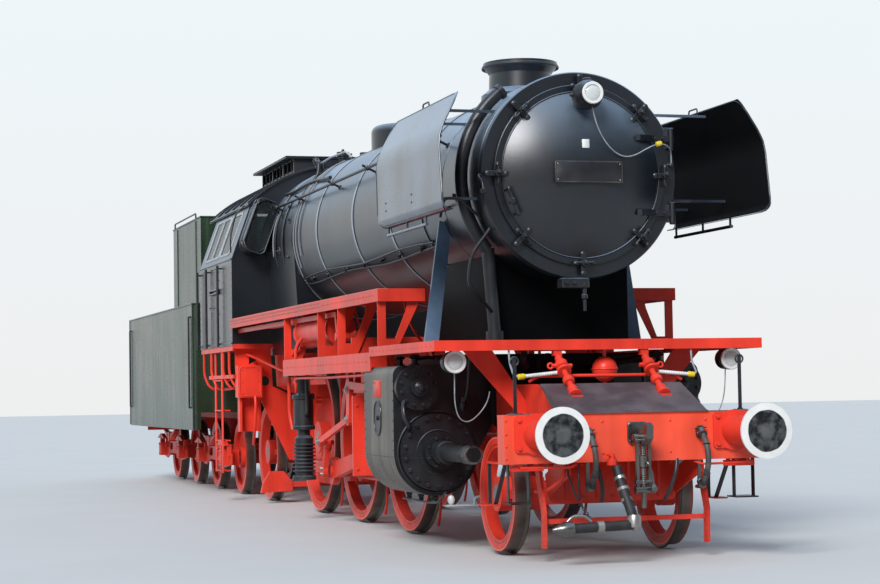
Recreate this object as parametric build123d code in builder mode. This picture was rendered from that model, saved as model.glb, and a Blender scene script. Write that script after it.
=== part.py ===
from build123d import *
import os
from math import sin, cos, radians, degrees, sqrt, atan2, pi

os.makedirs("parts", exist_ok=True)

# Steam locomotive with tender, millimetres. +X is forward, +Y the engine's left, +Z up.
# z = 0 is the lowest point of the wheel flanges, the origin lies under the middle of the length.

# Length and axles
length_over_buffers = 21325.0
front_overhang = 1890.0
lead_to_driver = 2900.0
driver_pitch = 2000.0
driver_to_trail = 3000.0
trail_to_tender = 2025.0
tender_pitch = 1900.0
flange_depth = 28.0

# Wheels
lead_diameter = 1000.0
driver_diameter = 1750.0
trail_diameter = 1250.0
tender_diameter = 1000.0
back_to_back = 1362.0
tyre_width = 138.0
tyre_thickness = 72.0
flange_width = 32.0
axle_radius = 95.0
journal_radius = 62.0
journal_reach = 1060.0
lead_arm = 1450.0
lead_hub = 150.0
driver_hub = 190.0
trail_hub = 160.0
tender_hub = 150.0
lead_spokes = 10
driver_spokes = 16
trail_spokes = 12
horn_gap = 270.0
pivot_radius = 55.0
drawbar_height = 1030.0
trail_arm = 740.0
crank_radius = 330.0
rod_depth = 76.0
rod_plane = 912.0
main_rod_plane = 1100.0
gear_plane = 1290.0
pin_radius = 68.0

# Frame
plate_gauge = 30.0
frame_half = 540.0
frame_top = 1450.0
beam_half = 1150.0
beam_low = 800.0
beam_high = 1200.0
buffer_length = 650.0
buffer_height = 1040.0
buffer_spacing = 1750.0
buffer_plate_radius = 225.0

# Boiler
boiler_height = 3300.0
smokebox_radius = 925.0
smokebox_length = 2000.0
smokebox_front = 20.0
barrel_front_radius = 932.0
barrel_rear_radius = 1000.0
firebox_length = 2080.0
firebox_ahead_of_cab = 1580.0
shell_gauge = 22.0
door_radius = 800.0
door_dish = 190.0
chimney_back = 1580.0
chimney_radius = 300.0
chimney_wall = 16.0
chimney_lip = 357.0
chimney_top = 4550.0
dome_radius = 400.0
dome_top = 4490.0
dome_back = 5740.0

# Platforms
platform_half = 1510.0
platform_top = 1830.0
platform_gauge = 12.0
platform_edge = 90.0
platform_ahead = 490.0
platform_behind = 1720.0
board_top = 2370.0
board_edge = 120.0
board_half = 1500.0
board_inner = 1040.0
board_start = 1400.0
side_beam_low = 1600.0
side_beam_top = 1780.0

# Smoke deflectors
deflector_half = 1496.0
deflector_top_half = 1290.0
deflector_low = 2925.0
deflector_knee = 3560.0
deflector_top = 3935.0
deflector_gauge = 8.0
deflector_ahead = 790.0
deflector_behind = 1350.0
deflector_corner = 120.0

# Cylinders
cylinder_spread = 1100.0
cylinder_height = 850.0
cylinder_case = 400.0
cylinder_length = 1060.0
main_rod_length = 2250.0
guide_length = 1220.0
guide_gap = 170.0
valve_height = 1440.0
valve_radius = 205.0
return_crank = 140.0

# Cab
cab_ahead_of_trail = 1000.0
cab_length = 2400.0
cab_half = 1475.0
cab_floor = 2050.0
cab_waist = 3150.0
cab_eave = 3880.0
cab_eave_half = 1210.0
cab_wall = 8.0
roof_crown = 4380.0
roof_gauge = 12.0
roof_overhang = 45.0
roof_tail = 430.0
vent_top = 4510.0
vent_half = 600.0
vent_cap = 720.0
hood_depth = 380.0
hood_out = 1155.0
hood_lift = 395.0
hood_height = 700.0
hood_width = 300.0
hood_lean = 20.0

# Tender
tank_half = 1500.0
tank_low = 900.0
tank_floor = 1162.0
underframe_low = 1045.0
tank_high = 2700.0
tank_length = 6560.0
tank_setback = 75.0
bunker_length = 2530.0
bunker_setback = 475.0
bunker_half = 1270.0
bunker_top = 4000.0
filler_height = 90.0
lamp_radius = 92.0

clear = 0.3
running = 6.0

# Places that follow from the sizes above
rail = flange_depth
x_front = length_over_buffers / 2
x_rear = -x_front
x_lead = x_front - front_overhang
x_drivers = [x_lead - lead_to_driver - k * driver_pitch for k in range(3)]
x_trail = x_drivers[2] - driver_to_trail
x_tender = [x_trail - trail_to_tender - k * tender_pitch for k in range(4)]
x_beam = x_front - buffer_length
x_tender_beam = x_rear + buffer_length
z_boiler = rail + boiler_height
x_smokebox = x_lead + smokebox_front
x_barrel = x_smokebox - smokebox_length
x_cab_front = x_trail + cab_ahead_of_trail
x_firebox = x_cab_front + firebox_ahead_of_cab
barrel_length = x_barrel - x_firebox
x_backhead = x_firebox - firebox_length
x_cylinder = x_drivers[1] + main_rod_length + guide_length
x_cab_rear = x_cab_front - cab_length
wheel_inner = back_to_back / 2
wheel_outer = wheel_inner + tyre_width
z_driver = rail + driver_diameter / 2
z_cylinder = rail + cylinder_height
z_valve = rail + valve_height
z_filler = rail + tank_high + filler_height
pin_tip = rod_plane + rod_depth / 2 + 10.0
x_lead_pivot = x_lead - lead_arm
x_trail_pivot = x_trail + trail_arm
x_drawbar = x_cab_rear + 60.0

# Crank pins: the right-hand one stands straight down, the left-hand one straight ahead
crank_angles = {-1: -90.0, 1: 0.0}


def side_plane(y):
    """Plane across the engine at distance y to the left, drawn with x forward and z up."""
    return Plane(origin=(0, y, 0), x_dir=(1, 0, 0), z_dir=(0, -1, 0))


def cross_plane(x):
    """Plane at distance x forward, drawn with y to the left and z up."""
    return Plane(origin=(x, 0, 0), x_dir=(0, 1, 0), z_dir=(1, 0, 0))


def save(piece, name):
    piece.label = name
    export_step(piece, "parts/" + name + ".step")


def box_between(x0, x1, y0, y1, z0, z1, mode=Mode.ADD):
    """Box from corner to corner."""
    with Locations(((x0 + x1) / 2, (y0 + y1) / 2, (z0 + z1) / 2)):
        return Box(abs(x1 - x0), abs(y1 - y0), abs(z1 - z0), mode=mode)


def rod_y(x, y, z, radius, depth, mode=Mode.ADD):
    """Round bar across the engine, centred at y."""
    with Locations((x, y, z)):
        return Cylinder(radius, depth, rotation=(90, 0, 0), mode=mode)


def rod_x(x0, x1, y, z, radius, mode=Mode.ADD):
    """Round bar along the engine from x0 to x1."""
    with Locations(((x0 + x1) / 2, y, z)):
        return Cylinder(radius, abs(x1 - x0), rotation=(0, 90, 0), mode=mode)


def rod_z(x, y, z0, z1, radius, mode=Mode.ADD):
    """Upright round bar from z0 to z1."""
    with Locations((x, y, (z0 + z1) / 2)):
        return Cylinder(radius, abs(z1 - z0), mode=mode)


def rod_between(start, end, radius, mode=Mode.ADD):
    """Round bar from one point to another."""
    span = Vector(*end) - Vector(*start)
    middle = (Vector(*end) + Vector(*start)) / 2
    with Locations(Plane(origin=middle, z_dir=span).location):
        return Cylinder(radius, span.length, mode=mode)


# Barrel outline, slightly conical with raised bands, grown all round
band_rows = [1090.0, 2490.0, 4140.0]
band_height = 6.0
band_half = 30.0
slope = (barrel_rear_radius - barrel_front_radius) / barrel_length


def barrel_points(grow):
    """Outline from the smokebox joint back to the firebox, x forward and radius up."""
    raised = band_height + grow
    points = [(x_barrel, barrel_front_radius + raised)]
    points += [(x_barrel - 60, barrel_front_radius + raised)]
    points += [(x_barrel - 60, barrel_front_radius + grow)]
    for back in band_rows:
        r = barrel_front_radius + slope * back
        points += [
            (x_barrel - back + band_half, r + grow), (x_barrel - back + band_half, r + raised),
            (x_barrel - back - band_half, r + raised), (x_barrel - back - band_half, r + grow),
        ]
    points += [(x_firebox + clear, barrel_rear_radius + grow)]
    return points


# Space that the boiler takes, for the pieces that stand on it
with BuildPart() as boiler_space:
    with BuildSketch(Plane(origin=(0, 0, z_boiler), x_dir=(1, 0, 0), z_dir=(0, -1, 0))):
        with BuildLine():
            Polyline(
                (x_smokebox + 1, 0), (x_smokebox + 1, smokebox_radius + clear),
                (x_barrel, smokebox_radius + clear), *barrel_points(clear),
                (x_firebox + clear, barrel_rear_radius + band_height + clear),
                (x_backhead, barrel_rear_radius + band_height + clear), (x_backhead, 0),
                close=True,
            )
        make_face()
    revolve(axis=Axis((0, 0, z_boiler), (1, 0, 0)))


def wheel_profile(radius, side):
    """Half section of tyre and rim, drawn with x as radius and y across."""
    inner = wheel_inner
    outer = wheel_outer
    rim = radius - tyre_thickness - 28
    return [
        (rim, side * (inner + 14)),
        (radius + flange_depth - 14, side * inner),
        (radius + flange_depth, side * (inner + 13)),
        (radius + 1, side * (inner + flange_width)),
        (radius - 3, side * outer),
        (rim, side * (outer - 10)),
    ]


def make_wheelset(x, diameter, spokes, hub, pins):
    """Axle with two wheels pressed on. pins is None or the spread of the balance weight."""
    radius = diameter / 2
    z = rail + radius
    rim = radius - tyre_thickness - 28
    web = Plane(origin=(x, 0, z), x_dir=(1, 0, 0), z_dir=(0, -1, 0))
    with BuildPart() as wheelset:
        for side in (-1, 1):
            with BuildSketch(Plane(origin=(x, 0, z), x_dir=(0, 0, 1), z_dir=(-1, 0, 0))):
                with BuildLine():
                    Polyline(*wheel_profile(radius, side), close=True)
                make_face()
            revolve(axis=Axis((x, 0, z), (0, 1, 0)))
            middle = side * (wheel_inner + 66)
            rod_y(x, side * (wheel_inner + 76), z, hub, 136)
            if spokes:
                with BuildSketch(web.offset(-middle)):
                    with PolarLocations(0, round(spokes), start_angle=90 / spokes):
                        with BuildLine():
                            Polyline(
                                (hub - 12, -36), (rim + 10, -24), (rim + 10, 24), (hub - 12, 36),
                                close=True,
                            )
                        make_face()
                extrude(amount=24, both=True)
            else:
                with BuildSketch(web.offset(-middle)):
                    Circle(rim + 10)
                    Circle(hub - 10, mode=Mode.SUBTRACT)
                extrude(amount=13, both=True)
            if pins:
                angle = radians(crank_angles[side])
                boss = Plane(origin=(x, 0, z), x_dir=(cos(angle), 0, sin(angle)), z_dir=(0, -1, 0))
                with BuildSketch(boss.offset(-side * (wheel_inner + 90))):
                    with Locations((crank_radius, 0)):
                        Circle(125)
                    Rectangle(crank_radius, 300, align=(Align.MIN, Align.CENTER))
                    with BuildLine():
                        far = rim + 4
                        spread = radians(pins)
                        ThreePointArc(
                            (-far * cos(spread), -far * sin(spread)), (-far, 0),
                            (-far * cos(spread), far * sin(spread)),
                        )
                        Line(
                            (-far * cos(spread), far * sin(spread)),
                            (-far * cos(spread), -far * sin(spread)),
                        )
                    make_face()
                extrude(amount=46, both=True)
        rod_y(x, 0, z, axle_radius + clear, 2 * wheel_outer + 100, Mode.SUBTRACT)
        rod_y(x, 0, z, axle_radius, 2 * (wheel_outer + 6))
        if not spokes:
            rod_y(x, 0, z, journal_radius, 2 * journal_reach)
        if pins:
            for side in (-1, 1):
                angle = radians(crank_angles[side])
                px = x + crank_radius * cos(angle)
                pz = z + crank_radius * sin(angle)
                inner = wheel_inner + 40
                rod_y(px, side * (inner + wheel_outer) / 2, pz, pin_radius + clear, 140, Mode.SUBTRACT)
                rod_y(px, side * (inner + pin_tip) / 2, pz, pin_radius, pin_tip - inner)
    return wheelset.part


wheel_rows = [
    # name, x, diameter, spokes, hub radius, spread of the balance weight
    ("leading_wheelset", x_lead, lead_diameter, lead_spokes, lead_hub, None),
    ("driving_wheelset_front", x_drivers[0], driver_diameter, driver_spokes, driver_hub, 36),
    ("driving_wheelset_main", x_drivers[1], driver_diameter, driver_spokes, driver_hub, 48),
    ("driving_wheelset_rear", x_drivers[2], driver_diameter, driver_spokes, driver_hub, 36),
    ("trailing_wheelset", x_trail, trail_diameter, trail_spokes, trail_hub, None),
    ("tender_wheelset_1", x_tender[0], tender_diameter, 0, tender_hub, None),
    ("tender_wheelset_2", x_tender[1], tender_diameter, 0, tender_hub, None),
    ("tender_wheelset_3", x_tender[2], tender_diameter, 0, tender_hub, None),
    ("tender_wheelset_4", x_tender[3], tender_diameter, 0, tender_hub, None),
]
for name, x, diameter, spokes, hub, pins in wheel_rows:
    save(make_wheelset(x, diameter, spokes, hub, pins), name)

# Coupling rods, one on each side, bored for the three crank pins
rod_eye = 118.0
for side, name in ((-1, "coupling_rod_right"), (1, "coupling_rod_left")):
    angle = radians(crank_angles[side])
    px = crank_radius * cos(angle)
    pz = crank_radius * sin(angle)
    with BuildPart() as coupling_rod:
        with BuildSketch(side_plane(side * rod_plane)):
            for x in x_drivers:
                with Locations((x + px, z_driver + pz)):
                    Circle(rod_eye)
            with Locations((x_drivers[1] + px, z_driver + pz)):
                Rectangle(2 * driver_pitch, 130)
        extrude(amount=rod_depth / 2, both=True)
        with BuildSketch(side_plane(side * (rod_plane + rod_depth / 2))):
            for x in (x_drivers[0] - driver_pitch / 2, x_drivers[1] - driver_pitch / 2):
                with Locations((x + px, z_driver + pz)):
                    Rectangle(driver_pitch - 2 * rod_eye - 90, 80)
        extrude(amount=18, both=True, mode=Mode.SUBTRACT)
        for x in x_drivers:
            with Locations((x + px, 0, z_driver + pz + rod_eye + 22)):
                with Locations((0, side * rod_plane, 0)):
                    Box(90, 44, 70)
            rod_y(x + px, side * rod_plane, z_driver + pz, pin_radius + clear, 200, Mode.SUBTRACT)
    save(coupling_rod.part, name)

# Main frame: two plates with openings for the axles, tied by cross stays
frame_in = frame_half - plate_gauge / 2
frame_out = frame_half + plate_gauge / 2
x_frame_front = x_beam - 25 - clear
x_frame_rear = x_cab_rear - 60
with BuildPart() as main_frame:
    for side in (-1, 1):
        with BuildSketch(side_plane(side * frame_half)):
            with BuildLine():
                Polyline(
                    (x_frame_front, rail + beam_low + 20),
                    (x_frame_front, rail + beam_high - 20),
                    (x_beam - 190, rail + beam_high - 10),
                    (x_lead + 600, rail + 1400),
                    (x_lead + 300, rail + frame_top),
                    (x_firebox + 250, rail + frame_top),
                    (x_firebox + 100, rail + 1330),
                    (x_frame_rear, rail + 1330),
                    (x_frame_rear, rail + 960),
                    (x_drivers[2] - 700, rail + 960),
                    (x_drivers[2] - 420, rail + 600),
                    (x_drivers[0] + 420, rail + 600),
                    (x_drivers[0] + 900, rail + 1010),
                    (x_lead - 500, rail + 1010),
                    (x_lead + 300, rail + 900),
                    (x_lead + 700, rail + beam_low + 20),
                    close=True,
                )
            make_face()
            for x in x_drivers:
                with Locations((x, z_driver - 15)):
                    RectangleRounded(horn_gap, 430, 40, mode=Mode.SUBTRACT)
            for x in (x_drivers[0] - driver_pitch / 2, x_drivers[1] - driver_pitch / 2):
                with Locations((x, rail + 1000)):
                    SlotOverall(760, 360, mode=Mode.SUBTRACT)
            with Locations((x_cylinder + 60, rail + 1230)):
                SlotOverall(900, 200, mode=Mode.SUBTRACT)
        extrude(amount=plate_gauge / 2, both=True)
    stays = [
        (x_lead + 560, 960, 1300), (x_lead - 700, 1040, 1420), (x_drivers[0] + 1000, 1040, 1420),
        (x_drivers[0] - driver_pitch / 2, 1190, 1420), (x_drivers[1] - driver_pitch / 2, 1190, 1420),
        (x_drivers[2] - 620, 980, 1300), (x_frame_rear + 20, 1080, 1320),
    ]
    between = frame_in - clear
    for x, low, high in stays:
        box_between(x - 15, x + 15, -between, between, rail + low, rail + high)
    for x, low, foot in (
        (x_lead_pivot, 1040, lead_diameter / 2 - 60), (x_trail_pivot, 990, trail_diameter / 2 - 60),
    ):
        box_between(x - 160, x + 160, -between, between, rail + low - 30, rail + low)
        rod_z(x, 0, rail + foot, rail + low - 30, pivot_radius)
    for x in x_drivers:
        for side in (-1, 1):
            box_between(x - horn_gap / 2 + clear, x + horn_gap / 2 - clear, side * (frame_in - 30),
                        side * (frame_out + 30), z_driver - 150, z_driver + 150)
        rod_y(x, 0, z_driver, axle_radius + clear, 1300, Mode.SUBTRACT)
    for low in (drawbar_height - 60, drawbar_height + 40):
        box_between(x_drawbar - 120, x_drawbar + 160, -between, between, rail + low,
                    rail + low + 20)
        rod_z(x_drawbar, 0, rail + low - 1, rail + low + 21, 40 + clear, Mode.SUBTRACT)
save(main_frame.part, "main_frame")

# Front buffer beam with flanges and end webs, and the sloping apron above it
apron_half = 640.0
x_apron_rear = x_beam - 560


def apron_outline(grow):
    """Section of the apron, x forward and z up, grown above."""
    with BuildSketch() as outline:
        with BuildLine():
            Polyline(
                (x_beam + 20, rail + beam_high + clear), (x_beam + 20, rail + beam_high + 11 + grow),
                (x_beam - 10, rail + beam_high + 14 + grow), (x_apron_rear, rail + frame_top + grow),
                (x_apron_rear, rail + frame_top - 14), (x_beam - 190, rail + beam_high + clear),
                close=True,
            )
        make_face()
    return outline.sketch


with BuildPart() as buffer_beam:
    box_between(x_beam - 25, x_beam, -beam_half, beam_half, rail + beam_low, rail + beam_high)
    for z in (rail + beam_low, rail + beam_high - 20):
        box_between(x_beam - 180, x_beam - 25, -beam_half, -frame_out - clear, z, z + 20)
        box_between(x_beam - 180, x_beam - 25, frame_out + clear, beam_half, z, z + 20)
    for side in (-1, 1):
        for y in (beam_half - 12, beam_half - 420):
            box_between(x_beam - 180, x_beam - 25, side * y - 10, side * y + 10,
                        rail + beam_low + 20, rail + beam_high - 20)
    with BuildSketch(side_plane(0)):
        add(apron_outline(0))
    extrude(amount=apron_half, both=True)
save(buffer_beam.part, "buffer_beam")

# Front platform over the cylinders
x_platform_front = x_lead + platform_ahead
x_platform_rear = x_lead - platform_behind
x_platform_low = x_drivers[1] - 780.0
z_platform = rail + platform_top
lower_half = platform_half - 10
with BuildPart() as front_platform:
    box_between(x_platform_rear, x_platform_front, -platform_half, platform_half,
                z_platform - platform_gauge, z_platform)
    box_between(x_platform_front - 12, x_platform_front, -platform_half, platform_half,
                z_platform - platform_edge, z_platform - platform_gauge)
    for side in (-1, 1):
        box_between(x_platform_rear, x_platform_front - 12, side * platform_half,
                    side * (platform_half - 12), z_platform - platform_edge,
                    z_platform - platform_gauge)
save(front_platform.part, "front_platform")

# Upper running boards beside the boiler, and the lower beams behind the platform
x_board = x_lead - board_start
z_board = rail + board_top
with BuildPart() as running_boards:
    for side in (-1, 1):
        box_between(x_cab_front + clear, x_board, side * board_inner, side * board_half,
                    z_board - 10, z_board)
        box_between(x_cab_front + clear, x_board, side * board_half, side * (board_half - 10),
                    z_board - board_edge, z_board - 10)
        box_between(x_board - 12, x_board, side * board_inner, side * (board_half - 10),
                    z_board - board_edge, z_board - 10)
        box_between(x_platform_low, x_platform_rear - clear, side * lower_half,
                    side * (lower_half - 14), rail + side_beam_low, rail + side_beam_top)
        box_between(x_platform_low, x_platform_rear - clear, side * (lower_half - 14),
                    side * (lower_half - 150), rail + side_beam_top - 16, rail + side_beam_top)
save(running_boards.part, "running_boards")

# Brackets under the running boards, slanting plates and posts between platform and beam
board_brackets = [x_board - 60, x_drivers[0] - 150, x_drivers[1] + 950, x_platform_low + 40]
post_out = 400.0
x_cab_plate = x_trail + 880
z_cab_floor = rail + cab_floor
with BuildPart() as platform_supports:
    for side in (-1, 1):
        for x in board_brackets:
            foot = z_platform + clear if x > x_platform_rear else rail + side_beam_top + clear
            with BuildSketch(cross_plane(x)):
                with BuildLine():
                    Polyline(
                        (side * (board_half - 10 - clear), z_board - 10 - clear),
                        (side * (board_inner + 20), z_board - 10 - clear),
                        (side * (board_inner + 60), z_board - 160),
                        (side * (board_half - 210), foot),
                        (side * (board_half - 10 - clear), foot),
                        close=True,
                    )
                make_face()
                with BuildLine():
                    Polyline(
                        (side * (board_half - 90), z_board - 90),
                        (side * (board_inner + 150), z_board - 90),
                        (side * (board_inner + 170), z_board - 190),
                        (side * (board_half - 180), rail + 1900),
                        (side * (board_half - 90), rail + 1900),
                        close=True,
                    )
                make_face(mode=Mode.SUBTRACT)
            extrude(amount=8, both=True)
    for side in (-1, 1):
        with BuildSketch(cross_plane(x_lead + 40)):
            with BuildLine():
                Polyline(
                    (side * 1180, z_platform - platform_gauge),
                    (side * 900, z_platform - platform_gauge),
                    (side * (frame_out + clear), rail + 1310),
                    (side * (frame_out + clear), rail + 1110),
                    close=True,
                )
            make_face()
        extrude(amount=10, both=True)
        y = side * post_out
        top = (x_platform_front - 40, y, z_platform - platform_edge - 40)
        box_between(x_platform_front - 80, x_platform_front - 12 - clear, y - 36, y + 36,
                    z_platform - platform_edge - 50, z_platform - platform_gauge - clear)
        foot = (x_lead + 890, y, rail + 1345)
        lean = Vector(*top) - Vector(*foot)
        rod_between(foot, top, 20)
        rod_between(foot, tuple(Vector(*foot) + lean * 0.18), 44)
        for start, end, radius in ((0.58, 0.63, 62), (0.7, 0.75, 55), (0.8, 0.92, 34)):
            rod_between(tuple(Vector(*foot) + lean * start), tuple(Vector(*foot) + lean * end), radius)
        box_between(x_lead + 850, x_lead + 940, y - 50, y + 50, rail + 1250, rail + 1350)
        with BuildSketch(side_plane(y)):
            add(apron_outline(clear))
            with Locations((x_lead + 900, rail + 1200)):
                Rectangle(400, 60)
        extrude(amount=80, both=True, mode=Mode.SUBTRACT)
    for side in (-1, 1):
        with BuildSketch(cross_plane(x_cab_plate)):
            with BuildLine():
                Polyline(
                    (side * 1420, z_cab_floor - 60 - clear), (side * 1420, rail + 1740),
                    (side * 1100, rail + 1350), (side * 720, rail + 540), (side * 600, rail + 540),
                    (side * (frame_out + clear), rail + 960), (side * (frame_out + clear), rail + 1330),
                    (side * 930, rail + 1500), (side * 950, z_cab_floor - 60 - clear),
                    close=True,
                )
            make_face()
            with Locations((side * 1030, rail + 1570)):
                Circle(62, mode=Mode.SUBTRACT)
            with Locations((side * 1200, rail + 1850)):
                RegularPolygon(75, 3, mode=Mode.SUBTRACT)
        extrude(amount=-16)
        box_between(x_cab_plate, x_cab_plate + 200, side * 1110, side * 1420, rail + 1360, rail + 1770)
        box_between(x_cab_plate, x_cab_plate + 130, side * 1360, side * 1390, rail + 920, rail + 1380)
        box_between(x_cab_plate - 16, x_cab_plate, side * 1090, side * 1390, rail + 920, rail + 1380)
save(platform_supports.part, "platform_supports")

# Smokebox: open drum with its front ring, blast pipe and hinge posts; the barrel's plate closes it behind
x_door = x_smokebox + running
dish_radius = ((door_radius - 60) ** 2 + door_dish ** 2) / (2 * door_dish)
hinge_x = x_door + 25
hinge_y = door_radius + 70
hinge_rows = (("upper", 335.0), ("lower", -335.0))
ring_gauge = 36.0
x_chimney = x_smokebox - chimney_back
with BuildPart() as smokebox:
    with BuildSketch(Plane(origin=(0, 0, z_boiler), x_dir=(1, 0, 0), z_dir=(0, -1, 0))):
        with BuildLine():
            Polyline(
                (x_barrel + clear, smokebox_radius), (x_smokebox - ring_gauge - clear, smokebox_radius),
                (x_smokebox - ring_gauge - clear, smokebox_radius - shell_gauge),
                (x_barrel + clear, smokebox_radius - shell_gauge),
                close=True,
            )
        make_face()
        with BuildLine():
            Polyline(
                (x_smokebox - ring_gauge, smokebox_radius), (x_smokebox - 10, smokebox_radius),
                (x_smokebox, smokebox_radius - 10), (x_smokebox, door_radius - 40),
                (x_smokebox - ring_gauge, door_radius - 40), close=True,
            )
        make_face()
    revolve(axis=Axis((0, 0, z_boiler), (1, 0, 0)))
    rod_z(x_chimney, 0, z_boiler, z_boiler + smokebox_radius + 100, chimney_radius - chimney_wall,
          Mode.SUBTRACT)
    with BuildSketch(Plane(origin=(x_chimney, 0, z_boiler), x_dir=(1, 0, 0), z_dir=(0, -1, 0))):
        with BuildLine():
            Polyline(
                (0, -smokebox_radius + 42.5), (190, -smokebox_radius + 42.5), (120, -480),
                (95, -200), (60, -200), (60, -260), (0, -260), close=True,
            )
        make_face()
    revolve(axis=Axis((x_chimney, 0, z_boiler), (0, 0, 1)))
    for _, dz in hinge_rows:
        rod_z(hinge_x, hinge_y, z_boiler + dz - 82, z_boiler + dz + 82, 14)
        for low, high in ((-82, -26 - clear), (26 + clear, 82)):
            rod_z(hinge_x, hinge_y, z_boiler + dz + low, z_boiler + dz + high, 28)
            with BuildSketch(Plane.XY.offset(z_boiler + dz + low)):
                with BuildLine():
                    Polyline(
                        (x_smokebox + clear, hinge_y - 60), (x_smokebox + clear, hinge_y + 10),
                        (hinge_x, hinge_y + 26), (hinge_x + 20, hinge_y), (hinge_x, hinge_y - 26),
                        close=True,
                    )
                make_face()
            extrude(amount=high - low)
save(smokebox.part, "smokebox")

# Smokebox door: dished, with hinge straps and dogs round the rim
with BuildPart() as smokebox_door:
    with BuildSketch(Plane(origin=(0, 0, z_boiler), x_dir=(1, 0, 0), z_dir=(0, -1, 0))):
        with BuildLine():
            rim_in = door_radius - 60
            dish_x = x_door + 30
            mid = rim_in / 2
            sag = sqrt(dish_radius ** 2 - mid ** 2) - (dish_radius - door_dish)
            sag_in = sqrt(dish_radius ** 2 - mid ** 2) - (dish_radius - door_dish) - 14
            Line((x_door, door_radius), (dish_x, door_radius))
            Line((dish_x, door_radius), (dish_x, rim_in))
            ThreePointArc((dish_x, rim_in), (dish_x + sag, mid), (dish_x + door_dish, 0))
            Line((dish_x + door_dish, 0), (dish_x + door_dish - 14, 0))
            ThreePointArc((dish_x + door_dish - 14, 0), (dish_x + sag_in, mid),
                          (x_door, rim_in - 40))
            Line((x_door, rim_in - 40), (x_door, door_radius))
        make_face()
    revolve(axis=Axis((0, 0, z_boiler), (1, 0, 0)))
    for _, dz in hinge_rows:
        with BuildSketch(Plane.XY.offset(z_boiler + dz - 26)):
            with BuildLine():
                edge = sqrt(door_radius ** 2 - dz ** 2)
                Polyline(
                    (dish_x - 6, edge - 150), (dish_x + 85, edge - 230), (dish_x + 95, edge - 190),
                    (dish_x + 24, edge - 30), (hinge_x + 24, hinge_y + 20),
                    (hinge_x - 24, hinge_y + 20), (hinge_x - 24, hinge_y - 20),
                    (dish_x - 6, edge - 20),
                    close=True,
                )
            make_face()
        extrude(amount=52)
        rod_z(hinge_x, hinge_y, z_boiler + dz - 26, z_boiler + dz + 26, 30)
        rod_z(hinge_x, hinge_y, z_boiler + dz - 40, z_boiler + dz + 40, 14 + clear, Mode.SUBTRACT)
save(smokebox_door.part, "smokebox_door")

# Lamp, handrail and blank plate on the door
lamp_z = z_boiler + 665.0
dog_circle = 790.0
dog_length = 118.0
with BuildPart() as door_fittings:
    with BuildSketch(side_plane(0)):
        with BuildLine():
            Polyline(
                (dish_x + 1, z_boiler + 730), (dish_x + 130, z_boiler + 600),
                (dish_x + 190, z_boiler + 600), (dish_x + 190, z_boiler + 640),
                (dish_x + 60, z_boiler + 740),
                close=True,
            )
        make_face()
    extrude(amount=40, both=True)
    rod_x(dish_x + 110, dish_x + 330, 0, lamp_z + 20, 92)
    box_between(dish_x + door_dish + 8, dish_x + door_dish + 20, -320, 320,
                z_boiler - 95, z_boiler + 105)
    for y in (-260, 260):
        rod_x(dish_x + 120, dish_x + door_dish + 8, y, z_boiler, 14)
    with Locations(Plane(origin=(dish_x + clear, 0, z_boiler), x_dir=(0, 1, 0), z_dir=(1, 0, 0))):
        with PolarLocations(dog_circle, 8):
            Box(dog_length, 34, 26, align=(Align.CENTER, Align.CENTER, Align.MIN))
            Cylinder(22, 58, align=(Align.CENTER, Align.CENTER, Align.MIN))
            with Locations((-6, 0, 42)):
                Cylinder(11, 150, rotation=(90, 0, 25))
    low = (x_door + 150, -(door_radius - 170), z_boiler - 355)
    high = (x_door + 135, -(door_radius - 90), z_boiler - 145)
    rod_between(low, high, 17)
    for y, z in ((low[1], low[2]), (high[1], high[2])):
        rod_x(x_door + 40, x_door + 142, y, z, 13)
    add(smokebox_door.part, mode=Mode.SUBTRACT)
save(door_fittings.part, "door_fittings")

# Boiler barrel, hollow, with its end plates
with BuildPart() as boiler_barrel:
    with BuildSketch(Plane(origin=(0, 0, z_boiler), x_dir=(1, 0, 0), z_dir=(0, -1, 0))):
        with BuildLine():
            Polyline(
                (x_barrel, 0), *barrel_points(0), (x_firebox + clear, 0), (x_firebox + 30, 0),
                (x_firebox + 30, barrel_rear_radius - shell_gauge),
                (x_barrel - 30, barrel_front_radius - shell_gauge), (x_barrel - 30, 0),
                close=True,
            )
        make_face()
    revolve(axis=Axis((0, 0, z_boiler), (1, 0, 0)))
save(boiler_barrel.part, "boiler_barrel")

# Firebox casing, round above and straight-sided below
firebox_low = rail + 1900.0
firebox_foot = 930.0


def firebox_outline(grow):
    """Section of the firebox, grown all round."""
    r = barrel_rear_radius + band_height + grow
    with BuildSketch() as outline:
        with BuildLine():
            Line((-r, z_boiler), (-firebox_foot - grow, firebox_low - grow))
            Line((-firebox_foot - grow, firebox_low - grow), (firebox_foot + grow, firebox_low - grow))
            Line((firebox_foot + grow, firebox_low - grow), (r, z_boiler))
            ThreePointArc((r, z_boiler), (0, z_boiler + r), (-r, z_boiler))
        make_face()
    return outline.sketch


with BuildPart() as firebox:
    with BuildSketch(cross_plane(x_backhead)):
        add(firebox_outline(0))
    extrude(amount=firebox_length)
    with BuildSketch(cross_plane(x_backhead + 40)):
        add(firebox_outline(-shell_gauge))
    extrude(amount=firebox_length - 80, mode=Mode.SUBTRACT)
save(firebox.part, "firebox")

# Saddle casing under the smokebox and the struts beside it
strut_x = x_lead - 1300.0
with BuildPart() as smokebox_supports:
    box_between(x_lead - 2300, x_lead - 500, -640, 640, z_platform + clear, z_boiler - 500)
    for side in (-1, 1):
        with BuildSketch(cross_plane(strut_x)):
            with BuildLine():
                Polyline(
                    (side * 1090, z_platform + clear), (side * 950, z_platform + clear),
                    (side * 800, z_boiler - 330), (side * 920, z_boiler - 300),
                    close=True,
                )
            make_face()
        extrude(amount=16, both=True)
    add(boiler_space.part, mode=Mode.SUBTRACT)
save(smokebox_supports.part, "smokebox_supports")

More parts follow.
